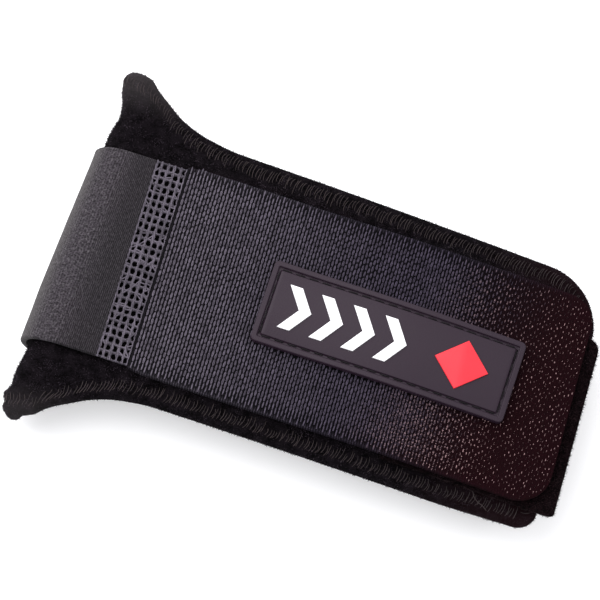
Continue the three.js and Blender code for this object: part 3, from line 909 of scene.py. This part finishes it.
def overlock_strands(settings):
    """Slanted stitches over the valley along every edge of the cuff."""
    rng = random.Random(11)
    strands = []
    for way in spread(FRONT_END - 5 * MM, TUCK_END + 4 * MM, settings.stitch_pitch):
        strands.append(overlock_strand(rng, settings, lambda inset, side: (
            way + side, cuff_reach(way + side)[1] - inset)))
        strands.append(overlock_strand(rng, settings, lambda inset, side: (
            way - side, inset - cuff_reach(way - side)[0])))
    near, far = cuff_reach(FRONT_END - 4 * MM)
    for across in spread(far - 6 * MM, 4 * MM - near, settings.stitch_pitch):
        strands.append(overlock_strand(rng, settings, lambda inset, side: (
            FRONT_END - inset, across + side)))
    strands.append(loose_end())
    return strands


def loose_end():
    """The loose end of thread beside the hook tab."""
    spots = ((43.6, -24.6, 0.1), (44.9, -27.0, 0.6), (46.0, -27.9, 0.9), (47.2, -28.2, 0.7),
             (48.4, -28.9, 0.4))
    return [(bent(front_way(x * MM), y * MM, WALL / 2 + height * MM), 1.0) for x, y, height in spots]


# Strap
LADDER_GAP = 0.68
BAR_STRAY = 0.22 * MM
YARN_RADIUS = 0.15 * MM
YARN_STRAY = 0.07 * MM
YARN_INSET = 0.3 * MM
TWIST_WIDTH = 0.16 * MM
TWIST_HEIGHT = 0.1 * MM
STRAY_YARNS = 0.4
WEB_END_INSETS = tuple(inset * MM for inset in (0, 0.1, 0.35, 0.8, 1.5, 2.5, 4, 5.5, 7))
HOOK_END_INSETS = tuple(inset * MM for inset in (0, 0.1, 0.4, 0.9, 1.6)) + (HOOK_CORNER,)
SHEET_EDGE = 0.4 * MM
LOOP_POINTS = 7
LOOP_SINK = 0.06 * MM
LOOP_EDGE_BAND = 3.2 * MM


def laid_band(ways, shares, reach, leaning, off, nap=None):
    """A band on the loop: reach and leaning give its edges and slant at each way."""
    def place(column, row):
        way = ways[column]
        near, far = reach(way)
        across = mix(-near, far, shares[row])
        there = way + leaning(way) * across
        return bent(there, across, off(way, across)), (there, across)

    return shaped_grid(len(ways) - 1, len(shares) - 1, place, nap)


def tape_mesh(settings):
    start = front_way(LADDER_X) + 0.25 * MM
    ways = spread(start, back_way(TAPE_BACK_X), settings.grain)
    half = TAPE_WIDTH / 2

    def leaning(way):
        return lean(LADDER_LEAN) * smooth(1 - (start - way) / (6 * MM))

    def off(way, across):
        wave = 0.05 * MM * (noise.noise(Vector((way, across, 0)) * 220) - 1)
        return STRAP_SEAT + TAPE_THICK / 2 + wave

    return laid_band(ways, spread(0, 1, 1 / 24), lambda way: (half, half), leaning, off)


def ladder_mesh(settings):
    """Bars with their gaps taken out of a grid, drawn in at each gap's middle."""
    rng = random.Random(5)
    columns, rows = settings.ladder_columns, settings.ladder_rows

    def lines(count, total):
        pitch = total / count
        inner = [(k + 0.5 + side * LADDER_GAP / 2) * pitch for k in range(count) for side in (-1, 1)]
        return [0, *inner, total]

    along = lines(columns, LADDER_LENGTH)
    across = [line - TAPE_WIDTH / 2 for line in lines(rows, TAPE_WIDTH)]
    start = front_way(LADDER_X)

    def place(column, row):
        inner = 0 < column < len(along) - 1 and 0 < row < len(across) - 1
        x = along[column] + (rng.uniform(-BAR_STRAY, BAR_STRAY) if inner else 0)
        y = across[row] + (rng.uniform(-BAR_STRAY, BAR_STRAY) if inner else 0)
        way = start + x + lean(LADDER_LEAN) * y
        return bent(way, y, STRAP_SEAT + TAPE_THICK / 2), (way, y)

    bm = shaped_grid(len(along) - 1, len(across) - 1, place)
    bm.faces.ensure_lookup_table()
    count = len(along) - 1
    gaps = [face for face in bm.faces if (face.index % count) % 2 == 1 and (face.index // count) % 2 == 1]
    bmesh.ops.delete(bm, geom=gaps, context="FACES")
    return bm


def ladder_strands(settings):
    """Twisted pairs of yarn over the ladder's long bars and single yarns over its short ones."""
    rng = random.Random(31)
    step_x = LADDER_LENGTH / settings.ladder_columns
    step_y = TAPE_WIDTH / settings.ladder_rows
    level = STRAP_SEAT + TAPE_THICK * 0.8

    def spot(x, y, height):
        x += rng.uniform(-YARN_STRAY, YARN_STRAY)
        y += rng.uniform(-YARN_STRAY, YARN_STRAY)
        way = front_way(LADDER_X) + x + lean(LADDER_LEAN) * y
        return bent(way, y, level + height), rng.uniform(0.8, 1.2)

    strands = []
    for column in range(settings.ladder_columns + 1):
        middle = min(max(column * step_x, YARN_INSET), LADDER_LENGTH - YARN_INSET)
        for twin in (0, math.pi):
            strand = []
            for quarter in range(4 * settings.ladder_rows + 1):
                turn = quarter * math.pi / 3 + twin
                y = quarter * step_y / 4 - TAPE_WIDTH / 2
                strand.append(spot(middle + TWIST_WIDTH * math.cos(turn), y, TWIST_HEIGHT * math.sin(turn)))
            strands.append(strand)
    for row in range(1, settings.ladder_rows):
        y = row * step_y - TAPE_WIDTH / 2
        half_steps = 2 * settings.ladder_columns
        strands.append([spot(part * step_x / 2, y, -0.05 * MM) for part in range(half_steps + 1)])
        for column in range(settings.ladder_columns):
            if rng.random() < STRAY_YARNS:
                start, end = (y + rng.uniform(-0.8, 0.8) * step_y for side in range(2))
                strands.append([spot(column * step_x, start, 0), spot((column + 1) * step_x, end, 0)])
    return strands


def web_mesh(settings):
    start = WEB_START - 0.25 * MM
    ends = [WEB_END - inset for inset in WEB_END_INSETS]
    ways = spread(start, ends[-1], settings.grain) + ends[-2::-1]

    def reach(way):
        half = WEB_WIDTH / 2 - 0.5 * MM * smooth(1 - (way - start) / (4 * MM))
        return (half - corner_loss(WEB_END - way, WEB_NEAR_CORNER),
                half - corner_loss(WEB_END - way, WEB_FAR_CORNER))

    def leaning(way):
        return mix(lean(LADDER_LEAN), lean(WEB_END_LEAN), (way - start) / (WEB_END - start))

    def off(way, across):
        wave = 0.07 * MM * noise.noise(Vector((way, across, 0)) * 160)
        return STRAP_SEAT + web_lift(way) + WEB_THICK / 2 + wave

    return laid_band(ways, spread(0, 1, 1 / 60), reach, leaning, off)


def loop_strands(settings):
    """Columns of small staggered loops on the web, a little wider apart near the ladder."""
    rng = random.Random(23)
    half = WEB_WIDTH / 2
    strands = []
    first, last = WEB_START + 0.7 * MM, WEB_END - 0.5 * MM
    rows = round(half / settings.slit) + 1
    for column, even in enumerate(spread(0, last - first, settings.rib)):
        way = first + even * (1 + 0.08 * (1 - even / (last - first)))
        free_end = smooth((way - HOOK_WAY) / (26 * MM))
        stray = mix(0.04, 0.26, free_end) * MM
        shift = 0.5 * (column % 2) + rng.uniform(-0.16, 0.16)
        for row in range(-rows, rows + 1):
            across = (row + shift) * settings.slit + rng.uniform(-stray, stray)
            here = way + rng.uniform(-stray, stray) * 0.7
            leaning = mix(lean(LADDER_LEAN), lean(WEB_END_LEAN), (here - WEB_START) / (WEB_END - WEB_START))
            here += leaning * across
            plain = settings.selvedge * (1 - 0.3 * free_end)
            plain += 0.3 * MM * noise.noise(Vector((here, across, 0)) * 300)
            plain += corner_loss(WEB_END - way, WEB_FAR_CORNER if across > 0 else WEB_NEAR_CORNER)
            on_label = abs(here - LABEL_WAY) < 29.4 * MM and abs(across) < 9.6 * MM
            if abs(across) > half - plain or on_label:
                continue
            top = STRAP_SEAT + web_lift(here) + WEB_THICK - 0.04 * MM
            by_edge = smooth((abs(across) - half + LOOP_EDGE_BAND) / MM)
            small = 1 - 0.58 * free_end
            wide = rng.uniform(0.11, 0.15) * MM * small * (1 - 0.6 * by_edge)
            tall = rng.uniform(0.44, 0.51) * settings.slit * small
            sunk = -LOOP_SINK * (1 - by_edge)
            turn = rng.uniform(-0.06, 0.06)
            strand = []
            for step in range(LOOP_POINTS):
                angle = math.radians(-70 + 320 * step / (LOOP_POINTS - 1))
                u = wide * math.cos(angle)
                v = tall * math.sin(angle)
                height = sunk if step in (0, LOOP_POINTS - 1) else rng.uniform(0.06, 0.18) * MM
                place = bent(here + u * math.cos(turn) - v * math.sin(turn),
                             across + u * math.sin(turn) + v * math.cos(turn), top + height)
                strand.append((place, small * rng.uniform(0.75, 1.2)))
            strands.append(strand)
    return strands


def hook_mesh(settings):
    ends = [HOOK_END - inset for inset in HOOK_END_INSETS]
    ways = spread(HOOK_WAY, ends[-1], settings.grain) + ends[-2::-1]

    def reach(way):
        loss = corner_loss(HOOK_END - way, HOOK_CORNER)
        return HOOK_NEAR_REACH - loss / 3, HOOK_FAR_REACH - loss

    def leaning(way):
        return lean(HOOK_LEAN) * (way - HOOK_WAY) / (HOOK_END - HOOK_WAY)

    def off(way, across):
        return STRAP_SEAT + HOOK_THICK / 2 + 0.04 * MM * noise.noise(Vector((way, across, 0)) * 500)

    def nap(column, row):
        way = ways[column]
        by_end = smooth(1 - (HOOK_END - way - 4 * MM) / (6 * MM))
        return max(by_end, smooth(1 - row / 6))

    return laid_band(ways, spread(0, 1, 1 / 54), reach, leaning, off, nap)


# Label
def label_off():
    return STRAP_SEAT + WEB_THICK + SEAT_GAP / 2


def laid_flat(bm, along=0.0, low=0.0):
    """Bends what was drawn flat on the label's own middle onto the web, and keeps its flat places."""
    layer = bm.loops.layers.uv.verify()
    for face in bm.faces:
        for loop in face.loops:
            loop[layer].uv = (loop.vert.co.x + along, loop.vert.co.y)
    for vertex in bm.verts:
        way = LABEL_WAY + along + vertex.co.x
        vertex.co = bent(way, vertex.co.y, label_off() + web_lift(way) + low + vertex.co.z)
    bmesh.ops.recalc_face_normals(bm, faces=bm.faces)


def cut_across(bm, half, step):
    """Cuts that let a flat piece bend along its length."""
    for x in spread(step - half, half - step, step):
        everything = bm.verts[:] + bm.edges[:] + bm.faces[:]
        bmesh.ops.bisect_plane(bm, geom=everything, plane_co=(x, 0, 0), plane_no=(1, 0, 0))


def rounded_ring(bm, length, width, radius, height, corner_steps=6):
    """A closed ring of edges round a rectangle with round corners."""
    ring = bmesh.ops.create_circle(bm, segments=4 * corner_steps, radius=1)["verts"]
    for index, vertex in enumerate(sorted(ring, key=lambda v: math.atan2(v.co.y, v.co.x) % math.tau)):
        corner, step = divmod(index, corner_steps)
        angle = math.tau / 4 * (corner + step / (corner_steps - 1))
        middle_x = (length / 2 - radius) * (1 if corner in (0, 3) else -1)
        middle_y = (width / 2 - radius) * (1 if corner in (0, 1) else -1)
        vertex.co = (middle_x + radius * math.cos(angle), middle_y + radius * math.sin(angle), height)
    return list({edge for vertex in ring for edge in vertex.link_edges})


def label_mesh(settings):
    """Rings from the label's foot over its rim and its groove to its face, joined by bands."""
    top, rim, groove = settings.height, settings.rim, settings.groove
    steps = ((0.25 * MM, 0), (0, 0.12 * MM), (0, top - 0.3 * MM), (0.06 * MM, top - 0.1 * MM),
             (0.2 * MM, top), (rim - 0.16 * MM, top), (rim - 0.03 * MM, top - 0.1 * MM),
             (rim + 0.05 * MM, top - 0.55 * MM), (rim + 0.2 * MM, top - 0.66 * MM),
             (rim + groove - 0.2 * MM, top - 0.66 * MM), (rim + groove - 0.05 * MM, top - 0.5 * MM),
             (rim + groove + 0.08 * MM, top - 0.22 * MM), (rim + groove + 0.3 * MM, top - 0.14 * MM))
    bm = bmesh.new()
    rings = []
    for inset, height in steps:
        radius = max(0.35 * MM, settings.corner - inset)
        rings.append(rounded_ring(bm, settings.length - 2 * inset, settings.width - 2 * inset, radius,
                                  height))
    for lower, upper in zip(rings, rings[1:]):
        bmesh.ops.bridge_loops(bm, edges=lower + upper)
    bmesh.ops.holes_fill(bm, edges=[edge for edge in bm.edges if edge.is_boundary], sides=0)
    cut_across(bm, settings.length / 2, 3 * MM)
    laid_flat(bm)
    return bm


def groove_strands(settings):
    """Stitches along the middle of the label's groove."""
    inset = settings.rim + 0.15 * MM + settings.groove / 2
    half_x = settings.length / 2 - inset
    half_y = settings.width / 2 - inset
    low = label_off() + settings.height - 0.62 * MM
    corners = [(-half_x, -half_y), (half_x, -half_y), (half_x, half_y), (-half_x, half_y)]
    strands = []
    stitch, gap = 2.4 * MM, 0.75 * MM
    for (x0, y0), (x1, y1) in zip(corners, corners[1:] + corners[:1]):
        length = math.hypot(x1 - x0, y1 - y0)
        count = round(length / (stitch + gap))
        for k in range(count):
            strand = []
            for share, height, thick in ((0, -0.25, 0.7), (0.15, 0.02, 1), (0.5, 0.1, 1), (0.85, 0.02, 1),
                                         (1, -0.25, 0.7)):
                part = (k + 0.5 + (share - 0.5) * stitch / (stitch + gap)) / count
                x, y = mix(x0, x1, part), mix(y0, y1, part)
                way = LABEL_WAY + x
                strand.append((bent(way, y, low + web_lift(way) + height * MM), thick))
            strands.append(strand)
    return strands


def mark_mesh(outline, along, settings):
    """A raised mark: its outline filled, raised and softened on its upper edge."""
    bm = bmesh.new()
    face = bm.faces.new([bm.verts.new((x, y, 0)) for x, y in outline])
    raised = bmesh.ops.extrude_face_region(bm, geom=[face])["geom"]
    upper = [item for item in raised if isinstance(item, bmesh.types.BMVert)]
    bmesh.ops.translate(bm, vec=(0, 0, settings.mark_height), verts=upper)
    top_edges = [edge for edge in bm.edges if all(vertex in upper for vertex in edge.verts)]
    bmesh.ops.bevel(bm, geom=top_edges, offset=MARK_BEVEL, offset_type="OFFSET", affect="EDGES",
                    segments=3, profile=0.5, material=-1)
    reach = max(abs(x) for x, _ in outline)
    cut_across(bm, reach, 1.5 * MM)
    laid_flat(bm, along, settings.height - MARK_SUNK)
    return bm


MARK_SUNK = 0.22 * MM
MARK_BEVEL = 0.14 * MM
CHEVRON_COUNT = 4
CHEVRON_ARM = 2.9 * MM
CHEVRON_POINT = 3.6 * MM
CHEVRON_WIDTH = 10.4 * MM
LOZENGE_LENGTH = 12.6 * MM
LOZENGE_WIDTH = 11.8 * MM


def chevron_outline():
    half = CHEVRON_WIDTH / 2
    back = -(CHEVRON_ARM + CHEVRON_POINT) / 2
    return ((back, -half), (back + CHEVRON_ARM, -half), (back + CHEVRON_ARM + CHEVRON_POINT, 0),
            (back + CHEVRON_ARM, half), (back, half), (back + CHEVRON_POINT, 0))


def lozenge_outline():
    half_x, half_y = LOZENGE_LENGTH / 2, LOZENGE_WIDTH / 2
    return ((-half_x, 0), (0, -half_y), (half_x, 0), (0, half_y))


def mark_along(node):
    """Where a mark's node stands along the label, from the label's own middle."""
    low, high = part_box(node)
    return (low.x + high.x) / 2 - SHIFT.x - LABEL_X


class ELBOWSTRAP_OT_cuff(bpy.types.Operator):
    """Makes the plush cuff with its rolled rim and flared horns"""
    bl_idname = "elbowstrap.cuff"
    bl_label = "Cuff"

    def execute(self, context):
        settings = context.scene.elbowstrap_cuff
        piece = new_piece(cuff_mesh(settings), "cuff_pad", plush_finish(settings), ["cuff"])
        tree = nap_tree(settings.pile_density, settings.pile_length, settings.pile_width, 0.9)
        finish = fibre_finish("plush_fibres", dimmed(settings.colour, 0.4), dimmed(settings.colour, 9.5))
        nap_piece("cuff_pile", piece, tree, finish)
        return {"FINISHED"}


class ELBOWSTRAP_OT_overlock(bpy.types.Operator):
    """Makes the slanted overlock stitches along the cuff's edges"""
    bl_idname = "elbowstrap.overlock"
    bl_label = "Overlock stitches"

    def execute(self, context):
        settings = context.scene.elbowstrap_cuff
        finish = thread_finish("overlock_thread", settings.thread_colour)
        thread_piece("overlock_stitches", overlock_strands(settings), settings.thread / 2, finish)
        return {"FINISHED"}


class ELBOWSTRAP_OT_ladder(bpy.types.Operator):
    """Makes the open-work ladder between the tape and the web"""
    bl_idname = "elbowstrap.ladder"
    bl_label = "Ladder net"

    def execute(self, context):
        settings = context.scene.elbowstrap_strap
        finish = net_finish(settings)
        piece = new_piece(ladder_mesh(settings), "ladder_net", finish, ["ladder_band"])
        wall = piece.modifiers.new("Thickness", "SOLIDIFY")
        wall.thickness = TAPE_THICK * 0.75
        wall.offset = 0
        round_yarn = piece.modifiers.new("Round yarn", "SUBSURF")
        round_yarn.levels = 2
        round_yarn.render_levels = 2
        thread = thread_finish("ladder_thread", dimmed(settings.web_colour, 1.5))
        thread_piece("ladder_yarn", ladder_strands(settings), YARN_RADIUS, thread)
        return {"FINISHED"}


class ELBOWSTRAP_OT_tape(bpy.types.Operator):
    """Makes the smooth tape that turns round the fold"""
    bl_idname = "elbowstrap.tape"
    bl_label = "Fold tape"

    def execute(self, context):
        settings = context.scene.elbowstrap_strap
        piece = new_piece(tape_mesh(settings), "fold_tape_weave", tape_finish(settings),
                          ["fold_tape"])
        solid_sheet(piece, TAPE_THICK, SHEET_EDGE)
        return {"FINISHED"}


class ELBOWSTRAP_OT_web(bpy.types.Operator):
    """Makes the coarse ribbed elastic over the front"""
    bl_idname = "elbowstrap.web"
    bl_label = "Elastic web"

    def execute(self, context):
        settings = context.scene.elbowstrap_strap
        piece = new_piece(web_mesh(settings), "elastic_web_weave", web_finish(settings),
                          ["elastic_web"])
        solid_sheet(piece, WEB_THICK, SHEET_EDGE)
        return {"FINISHED"}


class ELBOWSTRAP_OT_loops(bpy.types.Operator):
    """Makes the small loops that stand on the web"""
    bl_idname = "elbowstrap.loops"
    bl_label = "Web loops"

    def execute(self, context):
        settings = context.scene.elbowstrap_strap
        thread_piece("web_loops", loop_strands(settings), settings.loop_thread / 2,
                     loop_finish(settings), sides=0)
        return {"FINISHED"}


class ELBOWSTRAP_OT_hook(bpy.types.Operator):
    """Makes the hook tab under the web's end"""
    bl_idname = "elbowstrap.hook"
    bl_label = "Hook tab"

    def execute(self, context):
        settings = context.scene.elbowstrap_strap
        piece = new_piece(hook_mesh(settings), "hook_tab_pile", pile_finish(), ["hook_tab"])
        solid_sheet(piece, HOOK_THICK, 0.25 * MM)
        tree = nap_tree(9.0e6, 0.7 * MM, 0.12 * MM, 1.2)
        finish = fibre_finish("hook_fibres", HOOK_FIBRE_DARK, HOOK_FIBRE_LIGHT)
        nap_piece("hook_tab_hooks", piece, tree, finish)
        return {"FINISHED"}


class ELBOWSTRAP_OT_label(bpy.types.Operator):
    """Makes the moulded label with its rim, groove and stitches"""
    bl_idname = "elbowstrap.label"
    bl_label = "Label"

    def execute(self, context):
        settings = context.scene.elbowstrap_label
        finish = rubber_finish("label_rubber", settings.colour, 0.5)
        new_piece(label_mesh(settings), "label_patch_rubber", finish, ["label_patch"],
                  sharp_over=24)
        thread = thread_finish("label_thread", LABEL_THREAD)
        thread_piece("label_stitches", groove_strands(settings), 0.2 * MM, thread)
        return {"FINISHED"}


class ELBOWSTRAP_OT_marks(bpy.types.Operator):
    """Makes the raised chevrons and the lozenge on the label"""
    bl_idname = "elbowstrap.marks"
    bl_label = "Label marks"

    def execute(self, context):
        settings = context.scene.elbowstrap_label
        white = rubber_finish("white_rubber", settings.white, 0.42)
        red = rubber_finish("red_rubber", settings.red, 0.42)
        for k in range(CHEVRON_COUNT):
            node = f"label_chevron_{k + 1}"
            new_piece(mark_mesh(chevron_outline(), mark_along(node), settings), f"chevron_mark_{k + 1}",
                      white, [node], sharp_over=24)
        new_piece(mark_mesh(lozenge_outline(), mark_along("label_lozenge"), settings), "lozenge_mark",
                  red, ["label_lozenge"], sharp_over=24)
        return {"FINISHED"}


# The photo's view: its angles, and what it aims at from the middle of the strap
VIEW_ELEVATION = 73.2
VIEW_TURN = -0.8
VIEW_ROLL = 19.45
VIEW_CENTRE = Vector((0, 0, 11 * MM))
VIEW_RIGHT = -4.31 * MM
VIEW_UP = 5.5 * MM
VIEW_DISTANCE = 1.1337
LENS = 300.0
SENSOR = 36.0
FLOOR_HALF = 3.0
FLOOR_COLOUR = (0.86, 0.86, 0.87, 1)
BACKDROP_COLOUR = (0.98, 0.98, 1.0, 1)

# Each light's place, size and power
LIGHTS = {"key": ((-0.22, 0.11, 0.31), 0.5, 2.2), "fill": ((0.3, -0.35, 0.7), 0.9, 0.5)}


class ELBOWSTRAP_OT_stage(bpy.types.Operator):
    """Makes the pale floor, the soft lights and the camera"""
    bl_idname = "elbowstrap.stage"
    bl_label = "Stage"

    def execute(self, context):
        scene = context.scene
        floor_bm = bmesh.new()
        bmesh.ops.create_grid(floor_bm, x_segments=1, y_segments=1, size=FLOOR_HALF)
        mesh = bpy.data.meshes.new("floor")
        floor_bm.to_mesh(mesh)
        floor_bm.free()
        floor = bpy.data.objects.new("floor", mesh)
        scene.collection.objects.link(floor)
        finish = Finish("floor_paint")
        finish.set(Roughness=0.9, Specular_IOR_Level=0.1, Emission_Strength=0.3)
        mesh.materials.append(finish.wear(FLOOR_COLOUR))
        for name, (place, size, power) in LIGHTS.items():
            self.light(scene, name, place, size, power)
        self.surroundings(scene)
        self.camera(scene)
        scene.view_settings.view_transform = "Standard"
        return {"FINISHED"}

    def light(self, scene, name, place, size, power):
        data = bpy.data.lights.new(name, "AREA")
        data.energy = power
        data.size = size
        lamp = bpy.data.objects.new(name, data)
        lamp.location = place
        lamp.rotation_euler = (-Vector(place)).to_track_quat("-Z", "Y").to_euler()
        scene.collection.objects.link(lamp)

    def surroundings(self, scene):
        scene.world = bpy.data.worlds.new("studio")
        scene.world.use_nodes = True
        backdrop = scene.world.node_tree.nodes["Background"]
        backdrop.inputs["Color"].default_value = BACKDROP_COLOUR
        backdrop.inputs["Strength"].default_value = 1.0

    def camera(self, scene):
        elevation, turn, roll = (math.radians(a) for a in (VIEW_ELEVATION, VIEW_TURN, VIEW_ROLL))
        back = Vector((math.sin(turn) * math.cos(elevation), -math.cos(turn) * math.cos(elevation),
                       math.sin(elevation)))
        level_right = Vector((math.cos(turn), math.sin(turn), 0))
        right = level_right * math.cos(roll) + back.cross(level_right) * math.sin(roll)
        up = back.cross(right)
        data = bpy.data.cameras.new("photo_view")
        data.lens = LENS
        data.sensor_width = SENSOR
        data.clip_start = 0.01
        camera = bpy.data.objects.new("photo_view", data)
        place = VIEW_CENTRE + right * VIEW_RIGHT + up * VIEW_UP + back * VIEW_DISTANCE
        facing = Matrix((right, up, back)).transposed().to_4x4()
        camera.matrix_world = Matrix.Translation(place) @ facing
        scene.collection.objects.link(camera)
        scene.camera = camera


OPERATORS = (
    ELBOWSTRAP_OT_stage, ELBOWSTRAP_OT_cuff, ELBOWSTRAP_OT_overlock, ELBOWSTRAP_OT_ladder,
    ELBOWSTRAP_OT_tape, ELBOWSTRAP_OT_web, ELBOWSTRAP_OT_loops, ELBOWSTRAP_OT_hook, ELBOWSTRAP_OT_label,
    ELBOWSTRAP_OT_marks,
)


class ELBOWSTRAP_PT_panel(bpy.types.Panel):
    """Lists the strap's pieces and their sizes"""
    bl_idname = "ELBOWSTRAP_PT_panel"
    bl_label = "Elbow strap"
    bl_space_type = "VIEW_3D"
    bl_region_type = "UI"
    bl_category = "Elbow strap"

    def draw(self, context):
        for key, settings in SETTINGS.items():
            box = self.layout.box()
            for name in settings.__annotations__:
                box.prop(getattr(context.scene, f"elbowstrap_{key}"), name)
        for operator in OPERATORS:
            self.layout.operator(operator.bl_idname)


CLASSES = (*SETTINGS.values(), *OPERATORS, ELBOWSTRAP_PT_panel)


def register():
    for cls in CLASSES:
        bpy.utils.register_class(cls)
    for key, settings in SETTINGS.items():
        setattr(bpy.types.Scene, f"elbowstrap_{key}", bpy.props.PointerProperty(type=settings))


def unregister():
    for key in SETTINGS:
        delattr(bpy.types.Scene, f"elbowstrap_{key}")
    for cls in reversed(CLASSES):
        bpy.utils.unregister_class(cls)


def main():
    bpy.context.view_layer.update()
    register()
    for operator in OPERATORS:
        group, name = operator.bl_idname.split(".")
        getattr(getattr(bpy.ops, group), name)()


if __name__ == "__main__":
    main()
